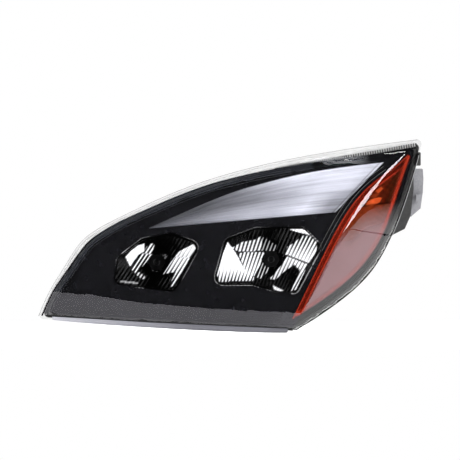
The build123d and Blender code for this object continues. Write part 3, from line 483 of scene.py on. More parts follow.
# ---------------------------------------------------------------- running light
def guide_material():
    """Opal light guide: fine streaks along it; a mesh attribute holds painted light and shade, how bright
    each part is, and the guide glows with that painted light.
    """
    material, nodes, links = new_material("opal_guide_painted_light")
    place = nodes.new("ShaderNodeCombineXYZ")
    links.new(attribute(nodes, "across"), place.inputs["X"])
    links.new(attribute(nodes, "along"), place.inputs["Y"])
    stretch = nodes.new("ShaderNodeMapping")
    stretch.inputs["Scale"].default_value = (17.0, 1.6, 1.0)
    links.new(place.outputs[0], stretch.inputs["Vector"])
    streak = nodes.new("ShaderNodeTexNoise")
    set_inputs(streak, {"Scale": 1.0, "Detail": 4.0, "Roughness": 0.6})
    links.new(stretch.outputs[0], streak.inputs["Vector"])
    base = ramp(nodes, links, attribute(nodes, "painted_light"), ((0.0, grey(0.0)), (1.0, (0.63, 0.64, 0.735))))
    stops = ((0.36, grey(0.80)), (0.50, grey(1.0)), (0.64, grey(1.16)))
    lines = ramp(nodes, links, streak.outputs["Fac"], stops)
    mix = nodes.new("ShaderNodeMix")
    mix.data_type = "RGBA"
    mix.blend_type = "MULTIPLY"
    mix.inputs["Factor"].default_value = 1.0
    links.new(base, mix.inputs["A"])
    links.new(lines, mix.inputs["B"])
    shader = nodes.new("ShaderNodeBsdfPrincipled")
    # Painted light: the unlit guide glows with its painted brightness
    set_inputs(shader, {"Roughness": 0.22, "Emission Strength": 0.3, "Coat Weight": 0.4})
    links.new(mix.outputs["Result"], shader.inputs["Base Color"])
    links.new(mix.outputs["Result"], shader.inputs["Emission Color"])
    finish_material(nodes, links, shader.outputs[0])
    return material


def strip_grid(first, second, rows, columns, start=0.004):
    """Points between two curves: u runs along them and v from the first to the second."""
    u = np.linspace(start, 1, rows)[:, None]
    v = np.linspace(0, 1, columns)[None, :]
    a = np.array([np.interp(u[:, 0], np.linspace(0, 1, len(first)), first[:, k]) for k in (0, 1)]).T
    b = np.array([np.interp(u[:, 0], np.linspace(0, 1, len(second)), second[:, k]) for k in (0, 1)]).T
    x = a[:, None, 0] * (1 - v) + b[:, None, 0] * v
    z = a[:, None, 1] * (1 - v) + b[:, None, 1] * v
    width = np.hypot(b[:, 0] - a[:, 0], b[:, 1] - a[:, 1])[:, None]
    return x, z, u + 0 * v, v + 0 * u, width


# Painted light and shade on the guide: how bright it is, along it from the tip and across it from its lower
# edge
GUIDE_ALONG = (0.0, 0.27, 0.40, 0.53, 0.66, 0.80, 0.92, 1.0)
GUIDE_ACROSS = (0.0, 0.2, 0.5, 0.8, 1.0)
GUIDE_PAINTED_LIGHT = (
    (0.16, 0.13, 0.10, 0.08, 0.12),
    (0.32, 0.26, 0.14, 0.10, 0.15),
    (0.46, 0.39, 0.18, 0.20, 0.27),
    (0.60, 0.50, 0.26, 0.36, 0.66),
    (0.58, 0.54, 0.42, 0.68, 1.05),
    (0.90, 0.80, 0.68, 0.76, 1.0),
    (0.50, 0.30, 0.66, 0.80, 0.95),
    (0.34, 0.30, 0.52, 0.70, 0.90),
)


def guide_painted_light(u, v, width):
    """Painted light and shade on the light guide's face: how bright it is at each point."""
    columns = [np.interp(u, GUIDE_ALONG, column) for column in zip(*GUIDE_PAINTED_LIGHT)]
    place = np.interp(v, GUIDE_ACROSS, np.arange(len(GUIDE_ACROSS)))
    below = np.minimum(place.astype(int), len(GUIDE_ACROSS) - 2)
    low, high = np.choose(below, columns[:-1]), np.choose(below, columns[1:])
    painted_light = low + (high - low) * (place - below)
    from_bottom, from_end = v * width, (1 - u) * GUIDE_LENGTH
    # Painted shade lines near the lower edge and near the end, and a painted highlight at the end
    painted_light = painted_light * (1 - 0.40 * bump_at(from_bottom, 3.6, 0.9))
    painted_light = painted_light * (1 - 0.45 * bump_at(from_end, 6.0, 1.4))
    return painted_light + 0.25 * bump_at(from_end, 2.0, 1.5)


GUIDE_FACE, GUIDE_BACK = 9.2, 13.6  # depths behind the lens's face
RIDGES, RIDGE_HEIGHT, RIDGE_FADE = 7, 0.9, 8.0  # the ridges fade out this near the edge


def build_guide():
    """Opal light guide: ridges along it, and a raised line just inside its rounded edge."""
    lower = np.linspace(GUIDE_TIP, GUIDE_FOOT, 101)
    upper = curve_through(GUIDE_TOP, 100)
    x, z, u, v, width = strip_grid(lower, upper, 220, 90, 0.01)
    from_edge = np.minimum(np.minimum(v, 1 - v) * width, (1 - u) * GUIDE_LENGTH)
    ridges = 0.5 - 0.5 * np.cos(v * 2 * pi * RIDGES)
    depth = GUIDE_FACE - RIDGE_HEIGHT * ridges * np.clip(from_edge / RIDGE_FADE, 0, 1)
    depth -= 0.9 * bump_at(from_edge, 3.0, 1.3)
    depth += 2.2 * bump_at(from_edge, 0.0, 1.0)
    front = conformal(x, z, depth)
    back = conformal(x, z, GUIDE_BACK + 0 * x)
    # The third attribute carries the guide's painted light and shade
    looks = {"along": u, "across": v, "painted_light": guide_painted_light(u, v, width)}
    guide = grid_solid("drl_light_guide", front, back, "lamp_body", "guide", values=looks)
    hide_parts("drl_guide")
    pocket = curve_through(GUIDE_POCKET_TOP, 100) + (0, 0.9)
    strip("guide_top_lip", pocket, upper - (0, 0.2), 8.4, 11.0, "gloss_black", 6)


# ---------------------------------------------------------------- painted glints
def painted_glint_material(name, dark, glow, metallic, rough):
    """Metallised or moulded surface with painted reflections: a mesh attribute says where light is painted
    on, as a pale colour that glows, and the rest is painted dark.
    """
    material, nodes, links = new_material(name)
    patchy = nodes.new("ShaderNodeMapRange")
    set_inputs(patchy, {"From Min": 0.3, "From Max": 0.7, "To Min": 0.90, "To Max": 1.05})
    links.new(noise(nodes, links, 130.0, 4.0), patchy.inputs["Value"])
    amount = product(nodes, links, attribute(nodes, "painted_glint"), patchy.outputs[0])
    shader = nodes.new("ShaderNodeBsdfPrincipled")
    painted_light = ramp(nodes, links, amount, ((0.0, dark), (1.0, grey(0.9))))
    links.new(painted_light, shader.inputs["Base Color"])
    set_inputs(shader, {"Metallic": metallic, "Roughness": rough, "Emission Strength": glow})
    light = ramp(nodes, links, amount, ((0.0, grey(0.0)), (1.0, (0.97, 0.97, 1.0))))
    links.new(light, shader.inputs["Emission Color"])
    finish_material(nodes, links, shader.outputs[0])
    return material


def painted_glint_map(painted_patches, x, z, phase=None):
    """Brightness of the painted glints at each point. A patch is an outline in mm, a brightness, and the
    share of each flute painted lit at the patch's top and at its bottom."""
    total = np.zeros(np.shape(x))
    for outline, painted_light, top_share, bottom_share in painted_patches:
        heights = [corner[1] for corner in outline]
        up = np.clip((z - min(heights)) / (max(heights) - min(heights)), 0, 1)
        share = bottom_share + (top_share - bottom_share) * up
        stripe = 1.0 if phase is None else np.clip((share - np.abs(2 * phase - 1)) * 4 + 0.5, 0, 1)
        total = np.maximum(total, painted_light * stripe * inside(list(outline), x, z))
    return total


# ---------------------------------------------------------------- amber side lamp
def amber_material():
    """Amber lens: see-through pane, with a painted pinkish reflection low down and a painted glow on its
    raised rims; both glow a little though the lamp is off.
    """
    material, nodes, links = new_material("amber_lens")
    pane = nodes.new("ShaderNodeBsdfTransparent")
    wander = noise(nodes, links, 25.0)
    tint = ramp(nodes, links, wander, ((0.3, (0.88, 0.40, 0.20)), (0.7, (0.94, 0.46, 0.24))))
    links.new(tint, pane.inputs["Color"])
    # Painted glow: the raised rims are opaque red and glow a little, for the light they catch
    body = nodes.new("ShaderNodeBsdfPrincipled")
    grain = noise(nodes, links, 240.0)
    red = ramp(nodes, links, grain, ((0.3, (0.30, 0.022, 0.008)), (0.7, (0.42, 0.035, 0.012))))
    links.new(red, body.inputs["Base Color"])
    set_inputs(body, {"Roughness": 0.25, "Emission Color": (0.9, 0.06, 0.02, 1), "Emission Strength": 0.05})
    # Painted reflection: a pinkish sheen that glows, low on the lens
    pink_painted_reflection = nodes.new("ShaderNodeBsdfPrincipled")
    painted_reflection_colour = ramp(nodes, links, wander, ((0.3, (0.235, 0.115, 0.130)), (0.7, (0.27, 0.135, 0.155))))
    links.new(painted_reflection_colour, pink_painted_reflection.inputs["Base Color"])
    links.new(painted_reflection_colour, pink_painted_reflection.inputs["Emission Color"])
    set_inputs(pink_painted_reflection, {"Roughness": 0.5, "Emission Strength": 0.1})
    shine = nodes.new("ShaderNodeBsdfGlossy")
    shine.inputs["Roughness"].default_value = 0.02
    film = mixed(nodes, links, attribute(nodes, "haze_and_painted_reflection"), pane.outputs[0], pink_painted_reflection.outputs[0])
    rimmed = mixed(nodes, links, attribute(nodes, "painted_rim_glow"), film, body.outputs[0])
    fresnel = two_sided_fresnel(nodes, links, AMBER_INDEX)
    finish_material(nodes, links, mixed(nodes, links, fresnel, rimmed, shine.outputs[0]))
    return material


AMBER_INDEX = 1.3  # lower than real acrylic's, for a fainter reflection
# The painted pinkish reflection begins below this line and grows to full strength over this height
PAINTED_REFLECTION_EDGE = ((207, 60), (231, 83), (272, 94), (291, 100))
PAINTED_REFLECTION_FADE = 38.0
SIDE_LENS_FACE, SIDE_LENS_BACK = 11.0, 13.2  # depths behind the outer lens's face


def build_side_lens():
    """Amber lens of the side lamp, with its raised rims."""
    left = curve_through(SIDE_LEFT, 100)
    right = curve_through(SIDE_RIGHT, 100)
    x, z, u, v, width = strip_grid(left, right, 260, 130, 0.012)
    from_left, from_right = v * width, (1 - v) * width
    apart = np.clip((0.95 - u) / 0.1, 0, 1)
    outer = bump_at(from_left, 1.6, 1.3)
    inner = bump_at(from_left, 10.0, 1.7) * apart
    channel = bump_at(from_left, 5.8, 2.6) * apart
    edge = bump_at(from_right, 4.2, 3.4)
    groove = bump_at(from_right, 5.0, 0.8)
    depth = SIDE_LENS_FACE - 3.0 * outer - 2.6 * inner + 1.2 * channel - 2.4 * edge + 1.0 * groove
    front = conformal(x, z, depth)
    back = conformal(x, z, SIDE_LENS_BACK + 0 * x)
    # Painted glow on the raised rims, weaker over the channel
    painted_rim_glow = np.clip(1.3 * outer + 1.1 * inner + 0.25 * channel + 1.1 * edge, 0, 1)
    # Painted pinkish reflection below the edge line, kept off the left rims; on the right half it dims the
    # painted rim glow
    haze_and_painted_reflection = 0.75 * np.clip((np.interp(x, *zip(*PAINTED_REFLECTION_EDGE)) - z) / PAINTED_REFLECTION_FADE, 0, 1)
    haze_and_painted_reflection = haze_and_painted_reflection * np.clip((from_left - 12.0) / 2.5, 0, 1)
    looks = {"painted_rim_glow": painted_rim_glow * (1 - 0.9 * haze_and_painted_reflection * (v > 0.5)), "haze_and_painted_reflection": haze_and_painted_reflection}
    lens = grid_solid("side_lamp_lens", front, back, "lamp_body", "amber_lens", values=looks)
    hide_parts("side_lens")


TRAY_FLOOR = -68.4  # Y of the flat floor of the side lamp's reflector
OPTIC_FACE, OPTIC_BACK = 22.0, 27.5  # depths behind the outer lens's face
FACETS_ALONG, FACETS_ACROSS = 34, 5
SHELF = ((228, 96), (268, 101))
# Painted glints on the side lamp's faceted optic
OPTIC_PAINTED_GLINTS = (
    (((231, 97), (236, 105), (253, 111), (260, 110), (255, 102), (243, 96)), 0.75, 1, 1),
    (((247, 121), (257, 129), (262, 126), (252, 117)), 0.55, 1, 1),
    (((236, 112), (248, 118), (256, 117), (246, 109)), 0.22, 1, 1),
    (((104, -99), (205, 92), (228, 95), (268, 99), (300, 99), (232, -10)), 0.20, 1, 1),
)


def build_side_optic():
    """Faceted inner optic of the side lamp, with a shelf across it; its colour holds painted glints and
    painted shade.
    """
    left = curve_through(SIDE_LEFT, 100)
    right = curve_through(SIDE_RIGHT, 100)
    x, z, u, v, width = strip_grid(left, right, 220, 60, 0.05)
    x, z, u, v, width = x[:-8, 3:-3], z[:-8, 3:-3], u[:-8, 3:-3], v[:-8, 3:-3], width[:-8]
    facet = np.abs((u * FACETS_ALONG) % 1 - 0.5) + np.abs((v * FACETS_ACROSS) % 1 - 0.5)
    shelf_z = np.interp(x, *zip(*SHELF))
    shelf = bump_at(z, shelf_z, 1.6)
    depth = OPTIC_FACE + 3.0 * facet - 3.0 * shelf
    floor = TRAY_FLOOR - 2.0 + 0.8 * facet
    # Painted glints, faint on every facet and bright in the patches, with painted shade along the shelf and
    # behind the amber lens's channel
    painted_glint = np.clip(0.04 + 0.05 * facet, 0, 1)
    painted_glint = np.maximum(painted_glint, painted_glint_map(OPTIC_PAINTED_GLINTS, x, z) * (0.75 + 0.35 * facet)) * (1 - 0.8 * shelf)
    painted_glint = painted_glint * np.clip((v * width - 9.0) / 3.0, 0, 1)
    front = conformal(x, z, depth)
    back = conformal(x, z, OPTIC_BACK + 0 * x)
    front[..., 1] = np.minimum(front[..., 1], floor)
    back[..., 1] = np.minimum(back[..., 1], TRAY_FLOOR - 0.3)
    optic_painted_glints = grid_solid("side_lamp_optic", front, back, "lamp_body", "optic_painted_glints", values={"painted_glint": painted_glint})


# ---------------------------------------------------------------- fluted reflectors
# Seam of each reflector: height at its peak, place of the peak, slope and curvature
LOW_SEAM = (19.0, 45.0, 0.0, 0.0028)
HIGH_SEAM = (12.8, -125.0, -0.105, 0.0)
# Painted reflections on the fluted mirrors: each patch says where light stripes are painted on
LOW_PAINTED_GLINTS = (
    (((-4, 35), (-24, -16), (-18, -33), (40, -31), (41, -25), (25, -12), (9, 17)), 1.0, 2.2, 0.4),
    (((14, 16), (48, 18), (61, 16), (54, 1), (41, -24), (25, -12)), 1.0, 0.5, 0.75),
    (((2, 24), (22, 35), (42, 38), (54, 45), (54, 20), (17, 18)), 0.95, 0.45, 0.55),
    (((54, 44), (78, 30), (78, 18), (54, 20)), 0.5, 0.15, 0.3),
    (
        ((94, 14), (98, 27), (109, 33), (119, 42), (126, 46), (139, 43), (153, 28), (134, -1), (112, 7.5)),
        0.8, 0.3, 0.95,
    ),
    (
        (
            (98, 10), (131, -3), (127, -16), (112, -47), (104, -49), (119, -13), (109, -4), (92, -16),
            (77, -30), (68, -28), (87, -6),
        ),
        0.85, 0.8, 0.45,
    ),
    (((54, 1), (71, 11), (78, 1), (54, -28), (44, -25)), 0.8, 0.12, 0.3),
    (((102, 56), (121, 57), (133, 53), (141, 45), (127, 49), (114, 52)), 1.0, 2, 2),
    (((73, -39), (80, -43), (91, -48), (85, -50), (75, -46)), 0.8, 2, 2),
)
HIGH_PAINTED_GLINTS = (
    (((-146, 32), (-158, 28), (-170, 18), (-178, 9), (-170, -7), (-156, 13), (-146, 19)), 1.0, 2, 2),
    (((-146, 21), (-137, 33), (-129, 30), (-133, 12), (-160, -20), (-168, -12)), 0.95, 0.5, 0.3),
    (((-157, -16), (-146, -23), (-144, -29), (-151, -28), (-160, -21)), 0.7, 0.4, 0.4),
    (
        (
            (-87, 18), (-78, 23), (-70, 27), (-63, 31), (-58, 24), (-68, 8), (-80, -13), (-94, -41),
            (-104, -41), (-92, -16), (-114, -20), (-100, 1),
        ),
        0.9, 1.0, 0.3,
    ),
    (((-136, -13), (-119, 14), (-105, 14), (-122, -16)), 0.12, 0.5, 0.5),
    (((-187, -31), (-157, -34), (-157, -37), (-187, -34)), 0.3, 2, 2),
)


OPENING_MARGIN = 1.05  # the mirror reaches a little beyond the bezel's opening
FLUTE_ROW, FLUTE_COLUMNS = 1.4, 10  # mm between points along a flute, and points across it
FLUTE_CROWN = 0.75
BULB_HOLE = 15.0  # radius left free for the bulb
MIRROR_FRONT = 38.0  # depth behind the lens's face that the mirror does not pass


def build_flutes(name, axis, opening, slants, pitch, seam, painted_patches):
    """Fluted mirror surface just ahead of the CAD paraboloid; the flutes shift by half across the seam."""
    corners = np.array(opening, float)
    corners = corners.mean(axis=0) + (corners - corners.mean(axis=0)) * OPENING_MARGIN
    (x0, z0), (x1, z1) = corners.min(axis=0) - 3, corners.max(axis=0) + 3
    z = np.arange(z0, z1, FLUTE_ROW)[:, None]
    reach = max(slants) * (z1 - z0)
    s = np.arange(x0 - reach, x1 + reach, pitch / FLUTE_COLUMNS)[None, :]
    slant = np.interp(s, (x0, x1), slants)
    x = s + slant * (z - axis[1])
    z = z + 0 * s
    above = z > seam[0] + seam[2] * (x - seam[1]) - seam[3] * (x - seam[1]) ** 2
    phase = (s / pitch + 0.5 * above) % 1.0
    crown = FLUTE_CROWN * (1 - (2 * phase - 1) ** 2)
    r2 = (x - axis[0]) ** 2 + (z - axis[1]) ** 2
    bowl = VERTEX - r2 / (4 * FOCAL)
    front = np.stack([x, bowl - 0.5 - crown, z], axis=-1)
    back = np.stack([x, bowl - 0.1, z], axis=-1)
    mid_x = (x[:-1, :-1] + x[1:, 1:]) / 2
    mid_z = (z[:-1, :-1] + z[1:, 1:]) / 2
    mid_r = np.hypot(mid_x - axis[0], mid_z - axis[1])
    keep = inside([tuple(corner) for corner in corners], mid_x, mid_z) & (mid_r > BULB_HOLE)
    keep &= front[:-1, :-1, 1] > form_y(mid_x, mid_z, MIRROR_FRONT)
    # Painted reflections: light stripes on one flank of each flute inside the patches, painted dark
    # elsewhere
    painted_glint = {"painted_glint": painted_glint_map(painted_patches, x, z, phase)}
    piece = grid_solid(name, front, back, "reflector_unit", "mirror_painted_reflection", keep=keep, values=painted_glint)


# ---------------------------------------------------------------- lines along the edge of the lens: moulded ribs and teeth, with painted light, shade and reflection
# Width of the clear rim along the top edge, by X
RIM_X = (-328, -305, -262, -187, -136, -34, 43, 119, 170, 246, 300, 330)
RIM_WIDTH = (4.5, 5.0, 9.0, 6.5, 7.8, 8.0, 10.5, 13.0, 14.5, 15.0, 13.0, 12.0)
# Painted shade line above the painted reflection band along the straight lower edge, and how far that band
# sags below the lens
LOWER_LINE = ((-320, -90.2), (-289, -92), (-230, -95.3), (-136, -101), (17, -108.1), (98, -111.5))
BAND_SAG = 4.4
LOWER_LINE_HALF = 1.1  # half the width of the dark line
STRIP_ROWS = 260


def strip(name, first, second, near, far, material, columns=3):
    """Thin piece between two curves in the front view, lying at two depths behind the lens's face."""
    x, z = strip_grid(first, second, STRIP_ROWS, columns, 0.0)[:2]
    piece = grid_solid(name, conformal(x, z, near), conformal(x, z, far), "lamp_body", material)


def top_line(extra):
    """Curve along the lens's top edge, `extra` mm beyond the width of the clear rim."""
    edge = curve_through(LENS_TOP, 300)
    return beside(LENS_TOP, np.interp(edge[:, 0], RIM_X, RIM_WIDTH) + extra)


def build_top_lines():
    """Clear rim drawn as painted light, a painted highlight along its outer edge, the dark line under it
    and the bezel's ribs below that, drawn as painted highlights.
    """
    trim, edge = slice(3, -6), slice(2, -4)  # stop short of the lens's corners
    # Painted light over the clear rim, and a painted highlight along its outer edge
    strip("rim_painted_light_band", beside(LENS_TOP, 3.2)[trim], top_line(0)[trim], 4.6, 6.0, "rim_painted_light")
    outer, inner = beside(LENS_TOP, 0.1)[edge], beside(LENS_TOP, 1.2)[edge]
    strip("rim_edge_painted_highlight", outer, inner, 0.5, 2.0, "edge_painted_highlight")
    outer, inner = top_line(0)[trim], top_line(2.4)[trim]
    strip("rim_line", outer, inner, 4.2, 6.0, "gloss_black")
    for number, (inset, wide) in enumerate(((5.2, 0.8), (8.6, 0.9), (12.4, 0.9))):
        line, border = top_line(inset)[8:210], top_line(inset + wide)[8:210]
        strip(f"bezel_rib_{number + 1}", line, border, 7.6, 10.0, "rib_painted_highlight")


def build_side_lines():
    """Painted highlight and painted shade lines down the outboard edge, where the clear lens's side wall
    shows edge-on.
    """
    # Painted highlight along the outboard edge
    outer = stretch_of(beside(LENS_SIDE, -0.8), 44, 184)
    inner = stretch_of(beside(LENS_SIDE, 0.2), 44, 184)
    strip("side_edge_painted_highlight", outer, inner, 10.5, 13.8, "edge_painted_highlight")
    # Painted shade: a dark line in the clear wall along the outboard edge
    outer = stretch_of(beside(LENS_SIDE, 0.3), -116, 186)
    inner = stretch_of(beside(LENS_SIDE, 2.6), -116, 186)
    strip("side_painted_shade_line", outer, inner, 0.6, 2.4, "gloss_black")


def build_lower_band():
    """Painted reflection: grey band along the lens's straight lower edge, lighter towards the left, with a
    painted shade line above it.
    """
    bottom = np.linspace(LENS_SIDE[-1], LENS_TOP[0], 301)[6:-18]
    sag = BAND_SAG * np.sin(np.linspace(0, pi, len(bottom))) ** 0.6
    line_z = np.interp(bottom[:, 0], *zip(*LOWER_LINE))
    line = np.stack([bottom[:, 0], line_z], axis=-1)
    foot = bottom - np.stack([0 * sag, sag], axis=-1)
    under, over = line - (0, LOWER_LINE_HALF), line + (0, LOWER_LINE_HALF)
    strip("lower_painted_reflection_band", foot, under, -0.3, 2.5, "band_painted_reflection")
    # Painted shade line above the band
    strip("lower_painted_shade_line", under, over, -0.3, 2.5, "smooth_black")


def build_bezel_creases():
    """Two fine creases in the bezel beside the amber lens, drawn as grey painted highlights."""
    for number, offset in enumerate((-5.2, -11.5)):
        line, border = beside(SIDE_LEFT, offset)[110:262], beside(SIDE_LEFT, offset + 0.9)[110:262]
        strip(f"bezel_crease_{number + 1}", line, border, 7.6, 10.0, "crease_painted_highlight")


# Teeth under the rim, in mm: the X where they begin and the X where they get coarser, the gap left at
# the end, both pitches, their height by X, and the depths between which they stand
TEETH_START, TEETH_COARSE, TEETH_END_GAP = 75, 195, 12
TEETH_PITCHES = (3.4, 4.2)
TEETH_HEIGHT = ((75, 200, 290, 325), (1.5, 4.5, 6.8, 6.8))
TEETH_DEPTHS = (3.3, 4.7)
TOOTH_FOOT, TOOTH_TIP = 1.0, 0.7  # half the width at each end
BOX_FACES = ((0, 1, 2, 3), (7, 6, 5, 4), (0, 4, 5, 1), (1, 5, 6, 2), (2, 6, 7, 3), (3, 7, 4, 0))


def build_rim_teeth():
    """Row of small moulded teeth under the clear rim, along the outboard half of the top edge."""
    edge, low = curve_through(LENS_TOP, 300), top_line(0.3)
    lengths = np.concatenate(([0], np.cumsum(np.linalg.norm(np.diff(edge, axis=0), axis=1))))
    start, coarse = (lengths[np.searchsorted(edge[:, 0], x)] for x in (TEETH_START, TEETH_COARSE))
    fine_pitch, coarse_pitch = TEETH_PITCHES
    end = lengths[-1] - TEETH_END_GAP
    places = np.concatenate([np.arange(start, coarse, fine_pitch), np.arange(coarse, end, coarse_pitch)])
    mesh = bpy.data.meshes.new("rim_teeth")
    shape = bmesh.new()
    for place in places:
        centre = np.array([np.interp(place, lengths, edge[:, k]) for k in (0, 1)])
        foot = np.array([np.interp(place, lengths, low[:, k]) for k in (0, 1)])
        down = (foot - centre) / np.linalg.norm(foot - centre)
        ahead = np.array((-down[1], down[0]))
        tall = np.interp(centre[0], *TEETH_HEIGHT)
        ends = ((0, -TOOTH_FOOT), (0, TOOTH_FOOT), (tall, TOOTH_TIP), (tall, -TOOTH_TIP))
        corners = []
        for depth in TEETH_DEPTHS:
            for up, along in ends:
                x, z = foot - down * up + ahead * along
                corners.append(shape.verts.new(Vector((x, float(form_y(x, z, depth)), z)) * MM))
        for face in BOX_FACES:
            shape.faces.new([corners[i] for i in face])
    bmesh.ops.recalc_face_normals(shape, faces=shape.faces)
    shape.to_mesh(mesh)
    shape.free()
    piece = link("rim_teeth", mesh, "lamp_body", "smooth_black", smooth=False)


MATERIALS["guide"] = guide_material()
MATERIALS["amber_lens"] = amber_material()
# Painted reflections: pale glowing glints on a mirror and an optic that are otherwise painted dark
MATERIALS["mirror_painted_reflection"] = painted_glint_material("fluted_mirror_painted_reflection", grey(0.05), 1.25, 1.0, 0.08)
MATERIALS["optic_painted_glints"] = painted_glint_material("side_optic_painted_glints", grey(0.02), 0.8, 0.0, 0.3)

build_guide()
build_side_lens()
build_side_optic()
build_flutes("low_beam_flutes", LOW_AXIS, LOW_OPENING, (0.2, 0.6), 6.2, LOW_SEAM, LOW_PAINTED_GLINTS)
build_flutes("high_beam_flutes", HIGH_AXIS, HIGH_OPENING, (0.68, 0.62), 7.0, HIGH_SEAM, HIGH_PAINTED_GLINTS)
build_top_lines()
build_side_lines()
build_lower_band()
build_bezel_creases()
build_rim_teeth()


# ---------------------------------------------------------------- studio
CAMERA = (0.0, -30.2, 0.055)
CARD_DEPTH_LIMIT = 3.5  # clear faces that a ray may pass before it meets a mirrored card
WHITE, BLUISH, GREYISH = (1.0, 1.0, 1.0), (0.85, 0.92, 1.15), (0.96, 0.98, 1.04)
SIDE_INNER = ((112, -100), (150, -38), (179, 21), (203, 56), (236, 88), (252, 96))
side_border = beside(LENS_SIDE, 5.2)[::-1]
side_edge = beside(LENS_SIDE, 3.6)[::-1]
# What the lens mirrors: each card fills the lens between two lines in the front view, in mm. Then come
# its strength, the share of its length over which its end fades, and its colour.
MIRRORED_CARDS = (
    ("edge_card", top_line(2.8)[10:225], top_line(11.5)[10:225], 0.6, 0.0, BLUISH),
    (
        "table_card",
        ((-335, -50), (-320, -48), (-237, -55), (-177, -65), (-128, -71), (-34, -78), (122, -86)),
        (
            (-335, -87.5), (-320, -88.5), (-237, -93), (-177, -96.5), (-128, -99), (-34, -103.4),
            (17, -105.9), (98, -109.6), (122, -110.6),
        ),
        2.4, 0.0, (1.0, 0.98, 1.06),
    ),
    ("side_card", SIDE_INNER[:4], stretch_of(side_border, -118, 45.4), 2.3, 0.0, WHITE),
    (
        "side_card_upper", ((203, 57.6), (236, 88), (252, 96)), stretch_of(side_border, 46.6, 108),
        2.2, 0.9, WHITE,
    ),
    (
        "side_edge_card", stretch_of(side_border, -118, 90), stretch_of(side_edge, -118, 90),
        8.0, 0.25, WHITE,
    ),
    (
        "streak_card",
        (
            (297, 184.5), (277.8, 165.6), (260.8, 148.6), (245.3, 131.6), (231.5, 114.6), (219.6, 97.6),
            (209.3, 80.6), (198, 62), (191, 50),
        ),
        (
            (298, 184), (281.5, 165.6), (266.4, 148.6), (252.5, 131.6), (238.8, 114.6), (226.2, 97.6),
            (214, 80.6), (201, 62), (191.5, 49.5),
        ),
        15.0, 0.12, (1.0, 0.95, 0.98),
    ),
    (
        "top_streak",
        ((262, 185.4), (280, 186.8), (299, 188.8)),
        ((262, 184.2), (280, 185.4), (299, 187.4)),
        9.0, 0.0, WHITE,
    ),
    (
        "upper_streak",
        ((120, 166.5), (153, 172.5), (196, 178), (238, 184)),
        ((120, 165.5), (153, 167.8), (196, 166.3), (238, 168.3)),
        5.5, 0.25, GREYISH,
    ),
    (
        "upper_shade",
        ((150, 168.6), (205, 175), (226, 177)),
        ((150, 168), (205, 172.6), (226, 175.6)),
        0.8, 0.0, BLUISH,
    ),
    (
        "blob_streak",
        ((193, 173.6), (199, 174.4), (206, 173.6)),
        ((193, 172), (199, 171.4), (206, 172.2)),
        12.0, 0.0, WHITE,
    ),
)


def emission(name, colour, strength):
    """Glow of a mirrored card; the attribute `fade` says how much of it is left at each point."""
    material, nodes, links = new_material(name)
    path = nodes.new("ShaderNodeLightPath")
    # The lens's outer face mirrors the card, and pieces behind the lens don't
    nearby = less_than(nodes, links, path.outputs["Transparent Depth"], CARD_DEPTH_LIMIT)
    faded = product(nodes, links, attribute(nodes, "fade"), nearby)
    glow = nodes.new("ShaderNodeEmission")
    glow.inputs["Color"].default_value = (*colour, 1)
    links.new(product(nodes, links, faded, float(strength)), glow.inputs["Strength"])
    finish_material(nodes, links, glow.outputs[0])
    return material


def mirrored(x, z, reach):
    """Where a point `reach` metres away stands if the camera sees it mirrored in the lens at (x, z) mm."""
    step = 0.5
    slope_x = (form_y(x + step, z, 0) - form_y(x - step, z, 0)) / (2 * step)
    slope_z = (form_y(x, z + step, 0) - form_y(x, z - step, 0)) / (2 * step)
    normal = np.stack([slope_x, -1 + 0 * x, slope_z], axis=-1)
    normal /= np.linalg.norm(normal, axis=-1, keepdims=True)
    spot = np.stack([x, form_y(x, z, 0), z], axis=-1) * MM
    ray = spot - np.array(CAMERA)
    ray /= np.linalg.norm(ray, axis=-1, keepdims=True)
    return spot + reach * (ray - 2 * (ray * normal).sum(axis=-1, keepdims=True) * normal)


def mirrored_card(name, first, second, reach, strength, soft, colour):
    """Reflection card that fills the lens between two lines, given in mm in the front view."""
    rows, columns = 120, 16
    x, z, u = strip_grid(first, second, rows, columns, 0.0)[:3]
    spots = mirrored(x, z, reach).reshape(-1, 3)
    faces = []
    for i in range(rows - 1):
        for j in range(columns - 1):
            corner = i * columns + j
            faces.append((corner, corner + 1, corner + columns + 1, corner + columns))
    mesh = bpy.data.meshes.new(name)
    mesh.from_pydata([tuple(spot) for spot in spots], [], faces)
    fade = np.clip((1 - u) / soft, 0, 1) if soft else np.ones_like(u)
    mesh.attributes.new("fade", "FLOAT", "POINT").data.foreach_set("value", fade.ravel().astype(np.float32))
    as_card(name, mesh, strength, colour)


def as_card(name, mesh, strength, colour):
    """Glowing sheet that only mirrored and transmitted rays meet."""
    obj = bpy.data.objects.new(name, mesh)
    bpy.context.collection.objects.link(obj)
    paint(obj, emission(name, colour, strength))
    obj.visible_camera = False
    obj.visible_diffuse = False
    obj.visible_shadow = False


def area_light(name, place, aim, size, power):
    """Rectangular light aimed at a point; mirrored surfaces do not show it."""
    light = bpy.data.lights.new(name, "AREA")
    light.shape = "RECTANGLE"
    light.size, light.size_y = size
    light.energy = power
    obj = bpy.data.objects.new(name, light)
    obj.location = place
    obj.rotation_euler = (Vector(aim) - Vector(place)).to_track_quat("-Z", "Y").to_euler()
    obj.visible_glossy = False
    bpy.context.collection.objects.link(obj)


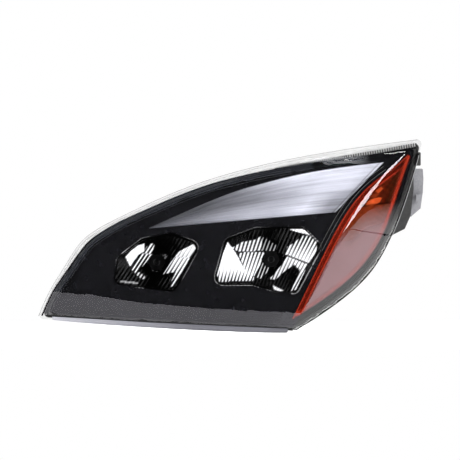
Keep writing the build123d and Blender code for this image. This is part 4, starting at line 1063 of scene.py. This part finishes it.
def build_studio():
    """Pale floor, the mirrored cards, four lights and the world."""
    floor_z = Vector(CAD_BOX[0]).z - 0.002  # just under the lamp
    mesh = bpy.data.meshes.new("studio_floor")
    size = 4.0
    mesh.from_pydata(
        [(-size, -size, floor_z), (size, -size, floor_z), (size, size, floor_z), (-size, size, floor_z)],
        [], [(0, 1, 2, 3)],
    )
    floor = bpy.data.objects.new("studio_floor", mesh)
    bpy.context.collection.objects.link(floor)
    floor.visible_glossy = False
    pale = {"Emission Color": (1, 1, 1, 1), "Emission Strength": 1.0}
    paint(floor, surface("pale_floor", grey(0.90), grey(0.93), (0.6, 0.7), 3.0, extra=pale))

    for place, (name, first, second, *look) in enumerate(MIRRORED_CARDS):
        reach = 1.3 - 0.03 * place  # later cards stand in front of earlier ones
        mirrored_card(name, np.array(first, float), np.array(second, float), reach, *look)

    area_light("key", (-1.2, -2.0, 1.8), (0, -0.2, 0.05), (1.4, 1.0), 60)
    area_light("fill", (1.6, -1.6, 1.0), (0, -0.2, 0.05), (1.0, 1.0), 30)
    area_light("top", (0.0, 0.0, 2.2), (0, -0.1, 0.05), (2.0, 2.0), 50)
    area_light("back", (0.4, 2.2, 1.6), (0, -0.1, 0.05), (1.6, 1.2), 50)

    world = bpy.data.worlds.new("studio")
    bpy.context.scene.world = world
    world.use_nodes = True  # the camera sees white; everything else is lit by a faint sky
    nodes, links = world.node_tree.nodes, world.node_tree.links
    nodes.clear()
    path = nodes.new("ShaderNodeLightPath")
    seen = nodes.new("ShaderNodeBackground")
    set_inputs(seen, {"Color": (1, 1, 1, 1), "Strength": 1.0})
    dark = nodes.new("ShaderNodeBackground")
    set_inputs(dark, {"Color": (1, 1, 1, 1), "Strength": 0.02})
    sky = mixed(nodes, links, path.outputs["Is Camera Ray"], dark.outputs[0], seen.outputs[0])
    finish_material(nodes, links, sky, "World")


def build_camera():
    """A long lens level with the lamp, so that its outline keeps its proportions."""
    distance, across = 30.0, 0.782  # from the lens, and the width seen there
    camera = bpy.data.cameras.new("camera")
    camera.sensor_width = 36.0
    camera.lens = camera.sensor_width * distance / across
    camera.clip_start, camera.clip_end = 1.0, 100.0
    obj = bpy.data.objects.new("camera", camera)
    obj.location = CAMERA
    obj.rotation_euler = (pi / 2, 0, 0)
    bpy.context.collection.objects.link(obj)
    bpy.context.scene.camera = obj
    bpy.context.scene.view_settings.view_transform = "Standard"


build_studio()
build_camera()
